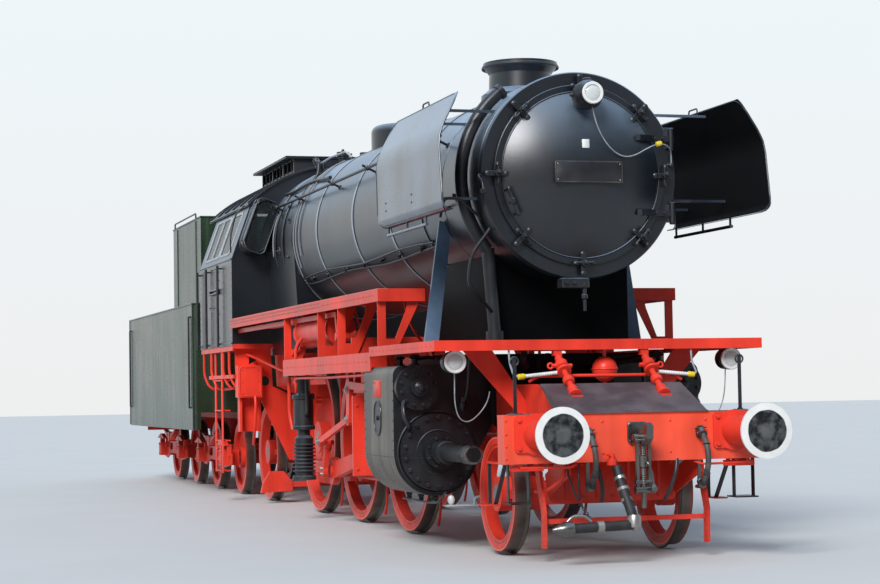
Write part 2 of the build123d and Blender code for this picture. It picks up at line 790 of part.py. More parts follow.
# Chimney with its flared lip
with BuildPart() as chimney:
    with BuildSketch(Plane(origin=(x_chimney, 0, 0), x_dir=(1, 0, 0), z_dir=(0, -1, 0))):
        with BuildLine():
            low = z_boiler + smokebox_radius - 120
            top = rail + chimney_top
            Polyline(
                (chimney_radius - chimney_wall, low), (chimney_radius + 90, low),
                (chimney_radius + 80, z_boiler + smokebox_radius + 12),
                (chimney_radius + 6, z_boiler + smokebox_radius + 70),
                (chimney_radius, top - 110), (chimney_lip - 22, top - 62),
                (chimney_lip, top - 40), (chimney_lip, top), (chimney_radius - chimney_wall, top),
                close=True,
            )
        make_face()
    revolve(axis=Axis((x_chimney, 0, 0), (0, 0, 1)))
    add(boiler_space.part, mode=Mode.SUBTRACT)
save(chimney.part, "chimney")

# Steam dome
x_dome = x_smokebox - dome_back
with BuildPart() as steam_dome:
    rod_z(x_dome, 0, z_boiler + 800, rail + dome_top, dome_radius)
    fillet(steam_dome.faces().sort_by(Axis.Z)[-1].edges(), 90)
    add(boiler_space.part, mode=Mode.SUBTRACT)
save(steam_dome.part, "steam_dome")

# Smoke deflectors: rolled sheets with a bent-in top and foot, trimmed to a rounded outline
x_deflector = x_lead - deflector_behind
with BuildPart() as smoke_deflectors:
    for side in (-1, 1):
        with BuildSketch(cross_plane(x_deflector - 200)):
            with BuildLine():
                FilletPolyline(
                    (side * (deflector_half - 100), rail + deflector_low),
                    (side * deflector_half, rail + deflector_low),
                    (side * deflector_half, rail + deflector_knee),
                    (side * deflector_top_half, rail + deflector_top), radius=[75, 420],
                )
            trace(line_width=deflector_gauge)
        extrude(amount=deflector_ahead + deflector_behind + 400)
    with BuildSketch(side_plane(0)) as deflector_outline:
        with BuildLine():
            Polyline(
                (x_deflector, rail + deflector_low - 40), (x_lead + deflector_ahead, rail + deflector_low - 40),
                (x_lead + deflector_ahead - 190, rail + deflector_top + 30),
                (x_deflector - 70, rail + deflector_top + 30), close=True,
            )
        make_face()
        fillet(deflector_outline.vertices(), deflector_corner)
    extrude(amount=platform_half + 100, both=True, mode=Mode.INTERSECT)
    for side in (-1, 1):
        for x in (x_deflector + 300, x_smokebox - 200):
            for y, z in ((deflector_half, 3100), (deflector_top_half + 28, 3880)):
                box_between(x - 15, x + 15, side * (y - 2), side * (y - 620), rail + z - 12,
                            rail + z + 12)
        y = side * (deflector_half - 60)
        rod_x(x_deflector + 130, x_lead + 80, y, rail + deflector_low - 75, 15)
        for x in (x_deflector + 160, x_lead - 560, x_lead + 50):
            rod_z(x, y, rail + deflector_low - 75, rail + deflector_low, 11)
    add(boiler_space.part, mode=Mode.SUBTRACT)
save(smoke_deflectors.part, "smoke_deflectors")

# Cylinders with the valve chests above them
x_cyl_front = x_cylinder + cylinder_length / 2
x_cyl_rear = x_cylinder - cylinder_length / 2
outer = cylinder_spread + cylinder_case
with BuildPart() as cylinders:
    for side in (-1, 1):
        with BuildSketch(cross_plane(x_cyl_rear)):
            with BuildLine():
                c = cylinder_case * sqrt(0.5)
                Line((side * (frame_out + clear), rail + 1640), (side * (outer - 90), rail + 1640))
                ThreePointArc((side * (outer - 90), rail + 1640),
                              (side * (outer - 26), rail + 1614), (side * outer, rail + 1550))
                Line((side * outer, rail + 1550), (side * outer, z_cylinder))
                ThreePointArc((side * outer, z_cylinder),
                              (side * (cylinder_spread + c), z_cylinder - c),
                              (side * cylinder_spread, z_cylinder - cylinder_case))
                ThreePointArc((side * cylinder_spread, z_cylinder - cylinder_case),
                              (side * (cylinder_spread - c), z_cylinder - c),
                              (side * (cylinder_spread - cylinder_case), z_cylinder))
                Line((side * (cylinder_spread - cylinder_case), z_cylinder),
                     (side * (frame_out + clear), rail + 1100))
                Line((side * (frame_out + clear), rail + 1100), (side * (frame_out + clear), rail + 1640))
            make_face()
        extrude(amount=cylinder_length)
        y = side * cylinder_spread
        v = side * gear_plane
        cover_rows = [
            # start, end, y, z, radius
            (x_cyl_front, x_cyl_front + 60, y, z_cylinder, 352),
            (x_cyl_front + 60, x_cyl_front + 170, y, z_cylinder, 150),
            (x_cyl_front + 170, x_cyl_front + 300, y, z_cylinder, 112),
            (x_cyl_front + 300, x_lead + 250, y, z_cylinder, 74),
            (x_cyl_rear - 50, x_cyl_rear, y, z_cylinder, 270),
            (x_cyl_front, x_cyl_front + 90, v, z_valve, valve_radius),
            (x_cyl_front + 90, x_cyl_front + 150, v, z_valve, 80),
            (x_cyl_rear - 90, x_cyl_rear, v, z_valve, valve_radius - 20),
        ]
        for start, end, across, up, radius in cover_rows:
            rod_x(start + clear, end, across, up, radius)
save(cylinders.part, "cylinders")

# Piston rods, crossheads and main rods, held at the drawn crank angle
with BuildPart() as main_rods:
    for side in (-1, 1):
        angle = radians(crank_angles[side])
        px = x_drivers[1] + crank_radius * cos(angle)
        pz = z_driver + crank_radius * sin(angle)
        gx = px + sqrt(main_rod_length ** 2 - (z_cylinder - pz) ** 2)
        tilt = degrees(atan2(z_cylinder - pz, gx - px))
        y = side * main_rod_plane
        with BuildSketch(Plane(origin=(px, y, pz), x_dir=(gx - px, 0, z_cylinder - pz),
                               z_dir=(0, -1, 0))):
            Circle(150)
            with Locations((main_rod_length, 0)):
                Circle(96)
            with BuildLine():
                Polyline((0, -92), (main_rod_length, -58), (main_rod_length, 58), (0, 92),
                         close=True)
            make_face()
        extrude(amount=40, both=True)
        rod_y(px, side * (pin_tip + running + main_rod_plane + 60) / 2, pz, pin_radius,
              main_rod_plane + 60 - pin_tip - running)
        box_between(gx - 190, gx + 190, y - 70, y + 70, z_cylinder - guide_gap + clear,
                    z_cylinder + guide_gap - clear)
        rod_x(gx + 190, x_cyl_rear - 50 - clear, y, z_cylinder, 45)
save(main_rods.part, "main_rods")

# Guide bars and the bracket that carries them over the front driving wheel
x_bracket = x_drivers[0] - 190.0
with BuildPart() as motion_brackets:
    for side in (-1, 1):
        y = side * main_rod_plane
        for z in (z_cylinder + guide_gap, z_cylinder - guide_gap - 60):
            box_between(x_bracket + 20 + clear, x_cyl_rear - 50 - clear, y - 55, y + 55, z, z + 60)
        box_between(x_bracket - 20, x_bracket + 20, side * (frame_out + clear), side * (frame_out + 61),
                    rail + 1340, rail + 1800 - clear)
        box_between(x_bracket - 20, x_bracket + 20, side * (frame_out + clear), side * 1340,
                    rail + 1800, rail + 1960)
        with BuildSketch(cross_plane(x_bracket - 20)):
            with BuildLine():
                Polyline(
                    (side * 975, rail + 560), (side * 1340, rail + 560),
                    (side * 1340, rail + 1800 - clear), (side * 975, rail + 1800 - clear), close=True,
                )
            make_face()
            with Locations((side * 1100, rail + 860)):
                Rectangle(170, 330, mode=Mode.SUBTRACT)
            with Locations((side * 1200, rail + 1500)):
                Rectangle(300, 260, mode=Mode.SUBTRACT)
        extrude(amount=40)
save(motion_brackets.part, "motion_brackets")

# Valve gear, held at the drawn crank angle
x_link = x_drivers[0] - 520.0
z_link = rail + 1430.0
x_lever = x_cyl_rear - 330.0
with BuildPart() as valve_gear:
    for side in (-1, 1):
        y = side * gear_plane
        rod_x(x_lever, x_cyl_rear - 90 - clear, y, z_valve, 32)
        box_between(x_lever - 30, x_lever + 30, y - 25, y + 25, z_cylinder - 240, z_valve + 60)
        box_between(x_lever - 30, x_lever + 30, y - side * 25, side * (main_rod_plane + 75),
                    z_cylinder - 240, z_cylinder - 190)
        with BuildSketch(side_plane(y)):
            with BuildLine():
                Polyline(
                    (x_link, z_link + 10), (x_lever, z_valve - 30), (x_lever, z_valve + 30),
                    (x_link, z_link + 90), close=True,
                )
            make_face()
            with BuildLine():
                ThreePointArc((x_link - 70, z_link - 340), (x_link - 20, z_link), (x_link - 70, z_link + 340))
                Line((x_link - 70, z_link + 340), (x_link + 50, z_link + 340))
                ThreePointArc((x_link + 50, z_link + 340), (x_link + 100, z_link), (x_link + 50, z_link - 340))
                Line((x_link + 50, z_link - 340), (x_link - 70, z_link - 340))
            make_face()
        extrude(amount=25, both=True)
        angle = radians(crank_angles[side])
        pin = (x_drivers[1] + crank_radius * cos(angle), z_driver + crank_radius * sin(angle))
        tip = (x_drivers[1] - return_crank * sin(angle), z_driver + return_crank * cos(angle))
        foot = (x_link - 10, z_link - 300)
        with BuildSketch(side_plane(side * (gear_plane - 75))):
            with BuildLine():
                Line(pin, tip)
            trace(line_width=96)
            for spot in (pin, tip):
                with Locations(spot):
                    Circle(72)
        extrude(amount=24, both=True)
        rod_y(tip[0], side * (gear_plane - 25), tip[1], 42, 110)
        with BuildSketch(side_plane(y)):
            with BuildLine():
                Line(tip, foot)
            trace(line_width=64)
            for spot in (tip, foot):
                with Locations(spot):
                    Circle(66)
        extrude(amount=20, both=True)
        arm = (x_link - 60, rail + 1980)
        with BuildSketch(side_plane(y - side * (53 + clear))):
            with BuildLine():
                Polyline((x_link + 170, z_link + 60), (x_link + 190, arm[1] + 30), arm)
            trace(line_width=46)
        extrude(amount=28, both=True)
        rod_y(arm[0], side * 1300, arm[1], 42, 220)
    reach = (x_cab_front + clear, rail + 2215)
    with BuildSketch(side_plane(-1385)):
        with BuildLine():
            Polyline((x_link - 60, rail + 1980), (x_link - 130, reach[1]), reach)
        trace(line_width=54)
    extrude(amount=12, both=True)
save(valve_gear.part, "valve_gear")

# Feed pump and air pump, hung from the lower beams, with cooling ribs round their cylinders
x_pump = x_platform_low + 150.0
pump_out = 1300.0
rib_pitch = 42.0
with BuildPart() as pumps:
    for side in (-1, 1):
        y = side * pump_out
        box_between(x_pump - 110, x_pump + 110, side * 1180, side * lower_half,
                    rail + side_beam_low - 14, rail + side_beam_low - clear)
        with BuildSketch(Plane(origin=(x_pump, y, rail), x_dir=(1, 0, 0), z_dir=(0, -1, 0))):
            with BuildLine():
                ribs = []
                for k in range(8):
                    low = 520 + rib_pitch * k
                    ribs += [(104, low), (128, low + 4), (128, low + 16), (104, low + 20)]
                Polyline(
                    (0, 430), (135, 430), (135, 470), (96, 478), *ribs, (104, 900), (70, 930), (70, 985),
                    (128, 995), (128, 1030), (112, 1040), (112, 1330), (128, 1340), (128, 1380),
                    (80, 1400), (80, side_beam_low - 13), (0, side_beam_low - 13), close=True,
                )
            make_face()
        revolve(axis=Axis((x_pump, y, 0), (0, 0, 1)))
save(pumps.part, "pumps")

# Air reservoirs under the running boards
with BuildPart() as reservoirs:
    for side in (-1, 1):
        rod_x(x_drivers[1] - 700, x_drivers[1] + 900, side * 1230, rail + 2080, 165)
        for x in (x_drivers[1] - 500, x_drivers[1] + 600):
            box_between(x - 25, x + 25, side * 1230 - 100, side * 1230 + 100, rail + 2100,
                        z_board - 10 - clear)
save(reservoirs.part, "air_reservoirs")

# Ash pan hoppers under the firebox
with BuildPart() as ash_pan:
    with BuildSketch(cross_plane(x_trail + 900)):
        with BuildLine():
            Polyline(
                (-430, rail + 260), (430, rail + 260), (frame_in - 8, rail + 900),
                (frame_in - 8, rail + 1340), (880, rail + 1500), (900, firebox_low - clear),
                (-900, firebox_low - clear), (-880, rail + 1500), (-frame_in + 8, rail + 1340),
                (-frame_in + 8, rail + 900), close=True,
            )
        make_face()
    extrude(amount=1100)
save(ash_pan.part, "ash_pan")

# Cab: floor, side walls, front and rear walls
z_waist = rail + cab_waist
z_eave = rail + cab_eave
z_crown = rail + roof_crown
rise = z_crown - roof_gauge - z_eave - clear
roof_radius = (cab_eave_half ** 2 + rise ** 2) / (2 * rise)
z_roof_centre = z_crown - roof_gauge - roof_radius
door_hinge_y = cab_half - 36.0
door_hinge_z = [z_cab_floor + 220.0, z_waist - 260.0]
door_rear = x_cab_front - 1550.0
door_front = x_cab_front - 850.0
door_hinge_x = door_front + 12.0


with BuildPart() as cab_floor_part:
    box_between(x_cab_rear, x_cab_front - clear, -cab_half + cab_wall + clear,
                cab_half - cab_wall - clear,
                z_cab_floor - 60, z_cab_floor)
    with BuildSketch(cross_plane(x_backhead - 1)):
        add(firebox_outline(clear))
    extrude(amount=firebox_length, mode=Mode.SUBTRACT)
save(cab_floor_part.part, "cab_floor")

for side, name in ((-1, "cab_side_right"), (1, "cab_side_left")):
    with BuildPart() as cab_side:
        with BuildSketch(cross_plane(x_cab_rear)):
            with BuildLine():
                Polyline(
                    (side * cab_half, z_cab_floor - 20), (side * cab_half, z_waist),
                    (side * cab_eave_half, z_eave), (side * (cab_eave_half - cab_wall), z_eave),
                    (side * (cab_half - cab_wall), z_waist - 2),
                    (side * (cab_half - cab_wall), z_cab_floor - 20),
                    close=True,
                )
            make_face()
        extrude(amount=cab_length)
        box_between(door_rear, door_front, side * 1300, side * 1600, z_cab_floor + 20, z_waist - 60,
                    Mode.SUBTRACT)
        for x0, x1 in ((x_cab_front - 1000, x_cab_front - 320), (x_cab_rear + 300, x_cab_front - 1080)):
            box_between(x0, x1, side * 1100, side * 1600, z_waist + 90, z_eave - 110, Mode.SUBTRACT)
        for z in door_hinge_z:
            rod_z(door_hinge_x, side * door_hinge_y, z - 60, z + 60, 8)
            for low, high in ((-60, -30 - clear), (30 + clear, 60)):
                rod_z(door_hinge_x, side * door_hinge_y, z + low, z + high, 14)
                box_between(door_hinge_x, door_hinge_x + 40, side * (door_hinge_y - 8),
                            side * (cab_half - cab_wall), z + low, z + high)
    save(cab_side.part, name)

def gable(low):
    """Cab section from the floor up to just under the roof."""
    half = cab_half - cab_wall - clear
    eave_half = cab_eave_half - cab_wall - clear
    with BuildSketch() as section:
        with BuildLine():
            Line((-half, low), (half, low))
            Line((half, low), (half, z_waist - 2))
            Line((half, z_waist - 2), (eave_half, z_eave))
            ThreePointArc((eave_half, z_eave), (0, z_crown - roof_gauge - clear),
                          (-eave_half, z_eave))
            Line((-eave_half, z_eave), (-half, z_waist - 2))
            Line((-half, z_waist - 2), (-half, low))
        make_face()
    return section.sketch


with BuildPart() as cab_front:
    with BuildSketch(cross_plane(x_cab_front - cab_wall)):
        add(gable(z_cab_floor + clear))
    extrude(amount=cab_wall)
    with BuildSketch(cross_plane(x_cab_front - cab_wall - 1)):
        add(firebox_outline(clear))
    extrude(amount=cab_wall + 2, mode=Mode.SUBTRACT)
    for side in (-1, 1):
        with BuildSketch(cross_plane(x_cab_front)):
            with Locations((side * hood_out, z_waist + hood_lift)):
                SlotOverall(hood_height, hood_width, rotation=90 + side * hood_lean)
        extrude(amount=hood_depth)
        with BuildSketch(cross_plane(x_cab_front - cab_wall - 1)):
            with Locations((side * hood_out, z_waist + hood_lift)):
                SlotOverall(hood_height - 16, hood_width - 16, rotation=90 + side * hood_lean)
        extrude(amount=hood_depth + cab_wall + 2, mode=Mode.SUBTRACT)
save(cab_front.part, "cab_front")

with BuildPart() as cab_rear:
    with BuildSketch(cross_plane(x_cab_rear)):
        add(gable(z_cab_floor + clear))
        with Locations((0, z_cab_floor + 951)):
            Rectangle(1300, 1900, mode=Mode.SUBTRACT)
    extrude(amount=cab_wall)
save(cab_rear.part, "cab_rear")

# Cab doors, hinged at their front edge and opening inwards
for side, name in ((-1, "cab_door_right"), (1, "cab_door_left")):
    with BuildPart() as cab_door:
        box_between(door_rear + 6, door_front - 6, side * (cab_half - 26), side * (cab_half - 2),
                    z_cab_floor + 26, z_waist - 66)
        for z in door_hinge_z:
            box_between(door_front - 60, door_hinge_x, side * (cab_half - 36),
                        side * (cab_half - 26), z - 30, z + 30)
            rod_z(door_hinge_x, side * door_hinge_y, z - 30, z + 30, 14)
            rod_z(door_hinge_x, side * door_hinge_y, z - 31, z + 31, 8 + clear, Mode.SUBTRACT)
        for z in (rail + 2750, rail + 2800):
            rod_x(door_rear + 50, door_front - 50, side * (cab_half + 34), z, 11)
        for x in (door_rear + 90, door_front - 90):
            box_between(x - 8, x + 8, side * (cab_half - 3), side * (cab_half + 34), rail + 2742,
                        rail + 2808)
    save(cab_door.part, name)

# Roof with its long ventilator
roof_rear = x_cab_rear - roof_tail
roof_front = x_cab_front + 40.0


def roof_disc(radius):
    """Disc about the centre of the roof's curve."""
    with BuildSketch() as disc:
        with Locations((0, z_roof_centre)):
            Circle(radius)
    return disc.sketch


x_vent_front = x_cab_front - 150.0
x_vent_rear = x_cab_rear + 150.0
with BuildPart() as cab_roof:
    with BuildSketch(cross_plane(roof_rear)):
        with Locations((0, z_crown)):
            Rectangle(2 * (cab_eave_half + roof_overhang), 1200)
        add(roof_disc(roof_radius + roof_gauge), mode=Mode.INTERSECT)
        add(roof_disc(roof_radius), mode=Mode.SUBTRACT)
    extrude(amount=roof_front - roof_rear)
    box_between(x_vent_rear + 40, x_vent_front - 40, -vent_half + 60, vent_half - 60,
                z_crown - 300, z_crown + 50, Mode.SUBTRACT)
save(cab_roof.part, "cab_roof")

# Ventilator along the roof: posts and end plates under a flat cap
z_vent = rail + vent_top
with BuildPart() as roof_ventilator:
    box_between(x_vent_rear, x_vent_front, -vent_half, vent_half, z_crown - 200, z_vent - 30)
    box_between(x_vent_rear + 16, x_vent_front - 16, -vent_half + 16, vent_half - 16,
                z_crown - 210, z_vent - 29, Mode.SUBTRACT)
    bay = (x_vent_front - x_vent_rear - 80) / 3
    for k in range(3):
        x = x_vent_rear + 40 + bay * k
        box_between(x + 25, x + bay - 25, -vent_half - 10, vent_half + 10, z_crown - 50,
                    z_vent - 50, Mode.SUBTRACT)
    box_between(x_vent_rear - 60, x_vent_front + 60, -vent_cap, vent_cap, z_vent - 30, z_vent)
    with BuildSketch(cross_plane(roof_rear - 1)):
        add(roof_disc(roof_radius + roof_gauge + clear))
    extrude(amount=roof_front - roof_rear + 2, mode=Mode.SUBTRACT)
save(roof_ventilator.part, "roof_ventilator")

# Tender tank, bunker, frame
x_tank_front = x_tender[0] + tank_setback
x_tank_rear = x_tank_front - tank_length
x_bunker_front = x_tender[0] - bunker_setback
x_bunker_rear = x_bunker_front - bunker_length
x_filler = x_bunker_rear - 900.0
with BuildPart() as tender_tank:
    box_between(x_tank_rear, x_tank_front, -tank_half, tank_half, rail + tank_low, rail + tank_high)
    fillet(tender_tank.edges().filter_by(Axis.Z), 60)
    box_between(x_tank_rear + 90, x_tank_front - 90, -tank_half + 12, tank_half - 12,
                rail + tank_floor, rail + tank_high - 12, Mode.SUBTRACT)
    box_between(x_tank_rear - 1, x_tank_front + 1, -tank_half + 110, tank_half - 110,
                rail + tank_low - 1, rail + tank_floor - 12, Mode.SUBTRACT)
    box_between(x_filler - 290, x_filler + 290, -410, 410, rail + tank_high, z_filler)
    box_between(x_filler - 280, x_filler + 280, -400, 400, rail + tank_high - 13, z_filler + 1,
                Mode.SUBTRACT)
    for y in (-300, 300):
        rod_y(x_filler - 324, y, z_filler + 14, 8, 160)
        for dy in (-70, 70):
            box_between(x_filler - 344, x_filler - 308, y + dy - 12, y + dy + 12,
                        rail + tank_high, z_filler + 24)
save(tender_tank.part, "tender_tank")

with BuildPart() as coal_bunker:
    box_between(x_bunker_rear, x_bunker_front, -bunker_half, bunker_half,
                rail + tank_high + clear, rail + bunker_top)
    box_between(x_bunker_rear + 12, x_bunker_front - 12, -bunker_half + 12, bunker_half - 12,
                rail + tank_high + 40, rail + bunker_top + 1, Mode.SUBTRACT)
save(coal_bunker.part, "coal_bunker")

x_tender_front = x_cab_rear - 250.0
with BuildPart() as tender_frame:
    box_between(x_tender_beam + 30 + clear, x_tender_front, -700, 700, rail + underframe_low,
                rail + tank_floor - 12 - clear)
    box_between(x_tender_beam, x_tender_beam + 30, -beam_half, beam_half, rail + beam_low,
                rail + beam_high)
    box_between(x_tender_front - 400, x_tender_front - 200, -300, 300, rail + drawbar_height - 30,
                rail + underframe_low - clear)
    box_between(x_tender_front - 200 + clear, x_drawbar, -70, 70, rail + drawbar_height - 30,
                rail + drawbar_height + 30)
    rod_z(x_drawbar, 0, rail + drawbar_height - 90, rail + drawbar_height + 90, 40)
    for k in (0, 2):
        x = (x_tender[k] + x_tender[k + 1]) / 2
        rod_z(x, 0, rail + underframe_low - 260, rail + underframe_low - clear, 50)
save(tender_frame.part, "tender_frame")

# Water filler with its lid, hinged at the rear
with BuildPart() as filler_lid:
    box_between(x_filler - 300, x_filler + 300, -420, 420, z_filler + clear, z_filler + 26)
    for y in (-300, 300):
        rod_y(x_filler - 324, y, z_filler + 14, 16, 80)
        box_between(x_filler - 324, x_filler - 296, y - 40, y + 40, z_filler + clear, z_filler + 26)
        rod_y(x_filler - 324, y, z_filler + 14, 8 + clear, 82, Mode.SUBTRACT)
save(filler_lid.part, "filler_lid")

# Buffers at both ends, and the tender's rear lamps on their posts
for end, x_face, name in ((1, x_beam, "front_buffers"), (-1, x_tender_beam, "tender_fittings")):
    with BuildPart() as buffers:
        if end < 0:
            for side in (-1, 1):
                rod_x(x_face - 150, x_face - clear, side * 700, rail + 1550, lamp_radius)
                box_between(x_face - 60, x_face - clear, side * 700 - 20,
                            side * 700 + 20, rail + 1100, rail + 1560)
        for side in (-1, 1):
            y = side * buffer_spacing / 2
            with BuildSketch(cross_plane(x_face + end * 13)):
                with Locations((y, rail + buffer_height)):
                    RectangleRounded(380, 300, 30)
            extrude(amount=13 - clear, both=True)
            with BuildSketch(Plane(origin=(x_face, y, rail + buffer_height), x_dir=(end, 0, 0),
                                   z_dir=(0, -end, 0))):
                with BuildLine():
                    Polyline(
                        (clear, 0), (clear, 170), (30, 170), (30, 125), (380, 112), (380, 85),
                        (600, 85), (605, 120), (620, buffer_plate_radius),
                        (640, buffer_plate_radius), (buffer_length, 120), (buffer_length, 0),
                        close=True,
                    )
                make_face()
            revolve(axis=Axis((x_face, y, rail + buffer_height), (1, 0, 0)))
    save(buffers.part, name)

# Leading truck: arms from the pivot to the axle boxes
for x_axle, diameter, x_pivot, end, name in (
    (x_lead, lead_diameter, x_lead_pivot, 1, "leading_truck"),
    (x_trail, trail_diameter, x_trail_pivot, -1, "trailing_truck"),
):
    z = rail + diameter / 2
    with BuildPart() as truck:
        for side in (-1, 1):
            box_between(x_axle - 150, x_axle + 150, side * 430, side * 600, z - 140, z + 140)
            with BuildSketch(Plane.XY.offset(z - 40)):
                with BuildLine():
                    Polyline(
                        (x_axle - end * 140, side * 430), (x_axle - end * 140, side * 560),
                        (x_pivot, side * 60), (x_pivot, side * -60), close=True,
                    )
                make_face()
            extrude(amount=80)
        rod_z(x_pivot, 0, z - 60, z + 120, 110)
        rod_z(x_pivot, 0, z - 61, z + 121, pivot_radius + clear, Mode.SUBTRACT)
        box_between(x_axle + end * 120, x_axle + end * 150, -431, 431, z - 100, z + 100)
        rod_y(x_axle, 0, z, axle_radius + clear, 1300, Mode.SUBTRACT)
        if end < 0:
            box_between(x_pivot - 110, x_pivot - 60, -60, 60, rail + 180, z - 40)
            box_between(x_pivot - 110, x_pivot - 60, -1010, 1010, rail + 180, rail + 250)
            for side in (-1, 1):
                with BuildSketch(cross_plane(x_pivot - 110)):
                    with BuildLine():
                        Polyline(
                            (side * 640, rail + 250), (side * 640, rail + 130), (side * 1060, rail + 110),
                            (side * 1030, rail + 240), (side * 940, rail + 390),
                            (side * 760, rail + 390), close=True,
                        )
                    make_face()
                extrude(amount=70)
    save(truck.part, name)

# Tender bogies
for k, name in ((0, "tender_bogie_front"), (1, "tender_bogie_rear")):
    xa = x_tender[2 * k]
    xb = x_tender[2 * k + 1]
    z = rail + tender_diameter / 2
    with BuildPart() as bogie:
        for side in (-1, 1):
            with BuildSketch(side_plane(side * 1000)):
                with BuildLine():
                    Polyline(
                        (xb - 330, z + 60), (xb - 330, z - 90), (xb + 170, z - 150),
                        (xb + 500, z - 60), (xa - 500, z - 60), (xa - 170, z - 150),
                        (xa + 330, z - 90), (xa + 330, z + 60), (xa - 300, z + 170),
                        (xb + 300, z + 170), close=True,
                    )
                make_face()
                for x in ((xa + xb) / 2 - 330, (xa + xb) / 2 + 330):
                    with Locations((x, z + 55)):
                        SlotOverall(300, 120, mode=Mode.SUBTRACT)
            extrude(amount=12, both=True)
            with BuildSketch(side_plane(side * 1065)):
                for x in (xa, xb):
                    for end in (-1, 1):
                        leaves = []
                        for k in range(5):
                            leaves += [(x + end * (330 - 55 * k), z + 176 + 14 * k),
                                       (x + end * (330 - 55 * k), z + 190 + 14 * k)]
                        with BuildLine():
                            Polyline((x, z + 176), *leaves, (x, z + 246), close=True)
                        make_face()
            extrude(amount=35, both=True)
            for x in (xa, xb):
                box_between(x - 28, x + 28, side * 1026, side * 1104, z + 109, z + 256)
                for dx in (-300, 300):
                    box_between(x + dx - 12, x + dx + 12, side * 1000, side * 1060, z + 30, z + 192)
            for x in (xa, xb):
                box_between(x - 110, x + 110, side * (wheel_outer + 30), side * 1110, z - 110,
                            z + 110)
                rod_y(x, side * (journal_reach + running - 200), z, journal_radius + clear, 400,
                      Mode.SUBTRACT)
        box_between((xa + xb) / 2 - 160, (xa + xb) / 2 + 160, -990, 990, z + 40, z + 165)
        rod_z((xa + xb) / 2, 0, z + 165, rail + underframe_low - running, 120)
        rod_z((xa + xb) / 2, 0, rail + underframe_low - 270, rail + underframe_low, 50 + clear,
              Mode.SUBTRACT)
    save(bogie.part, name)

# Headlamps under the platform
with BuildPart() as headlamps:
    for side in (-1, 1):
        y = side * 1280
        rod_x(x_lead + 190, x_lead + 330, y, rail + 1650, lamp_radius)
        box_between(x_lead + 220, x_lead + 260, y - 20, y + 20, rail + 1730,
                    z_platform - platform_gauge - clear)
save(headlamps.part, "headlamps")

# Guard irons over the rails, front steps and cab ladders
x_ladder = (door_rear + door_front) / 2
with BuildPart() as steps_and_guards:
    box_between(x_lead + 945, x_lead + 975, -20, 20, rail + 290, rail + 330)
    for side in (-1, 1):
        y = side * 730
        with BuildSketch(side_plane(y)):
            with BuildLine():
                Polyline(
                    (x_lead + 740, rail + 900), (x_lead + 860, rail + 900),
                    (x_lead + 1020, rail + 380), (x_lead + 1010, rail + 90),
                    (x_lead + 930, rail + 90), (x_lead + 940, rail + 380),
                    close=True,
                )
            make_face()
        extrude(amount=13, both=True)
        box_between(x_lead + 760, x_lead + 830, side * (frame_out + clear), y, rail + 840,
                    rail + 900)
        box_between(x_lead + 945, x_lead + 975, side * 5, y, rail + 290, rail + 330)
        y = side * 950
        box_between(x_beam - 230, x_beam - 20, y - side * 45, y + side * 150, rail + 470,
                    rail + 482)
        for dy in (-35, 140):
            box_between(x_beam - 130, x_beam - 80, y + side * dy - 5, y + side * dy + 5,
                        rail + 482, rail + beam_low - clear)
        y = side * (cab_half - 35)
        for dx in (-240, 240):
            box_between(x_ladder + dx - 30, x_ladder + dx + 30, y - 8, y + 8, rail + 360,
                        z_cab_floor - 60 - clear)
        for k in range(4):
            z = rail + 380 + 400 * k
            box_between(x_ladder - 232, x_ladder + 232, y - side * 110, y + side * 20, z, z + 16)
save(steps_and_guards.part, "steps_and_guards")

# Handrails along the boiler and beside the cab doors
with BuildPart() as handrails:
    for side in (-1, 1):
        angle = radians(26)
        reach = barrel_rear_radius + 75
        y = side * reach * cos(angle)
        z = z_boiler + reach * sin(angle)
        rod_x(x_cab_front + hood_depth + 40, x_chimney + 500, y, z, 17)
        for x in (x_chimney + 300, x_barrel - 300, x_barrel - 1800, x_barrel - 3400, x_firebox + 200,
                  x_firebox - 1100):
            with Locations(Location((x, side * (reach - 60) * cos(angle),
                                     z_boiler + (reach - 60) * sin(angle)),
                                    (side * -degrees(pi / 2 - angle), 0, 0))):
                Cylinder(13, 250)
        for x in (door_front + 90, door_rear - 90, x_cab_rear + 60):
            rod_z(x, side * (cab_half + 50), z_cab_floor - 20, z_waist - 40, 17)
            for z in (z_cab_floor + 20, z_waist - 80):
                rod_y(x, side * (cab_half + 25), z, 12, 50 - 2 * clear)
    add(boiler_space.part, mode=Mode.SUBTRACT)
save(handrails.part, "handrails")

# Brake blocks and hangers behind the driving wheels
with BuildPart() as brake_gear:
    for side in (-1, 1):
        y = side * (wheel_inner + 72)
        for x in x_drivers:
            with BuildSketch(side_plane(y)):
                with Locations((x, z_driver)):
                    Circle(driver_diameter / 2 + 76)
                    Circle(driver_diameter / 2 + 7, mode=Mode.SUBTRACT)
                with Locations((x - driver_diameter / 2 - 60, z_driver)):
                    Rectangle(240, 360, mode=Mode.INTERSECT)
            extrude(amount=36, both=True)
            face = x - driver_diameter / 2 - 76
            box_between(face - 26, face + 8, y - 20, y + 20, z_driver - 230, z_driver + 460)
            rod_y(face - 9, side * (frame_out + clear + y * side) / 2, z_driver + 420, 22,
                  y * side - frame_out - clear)
save(brake_gear.part, "brake_gear")

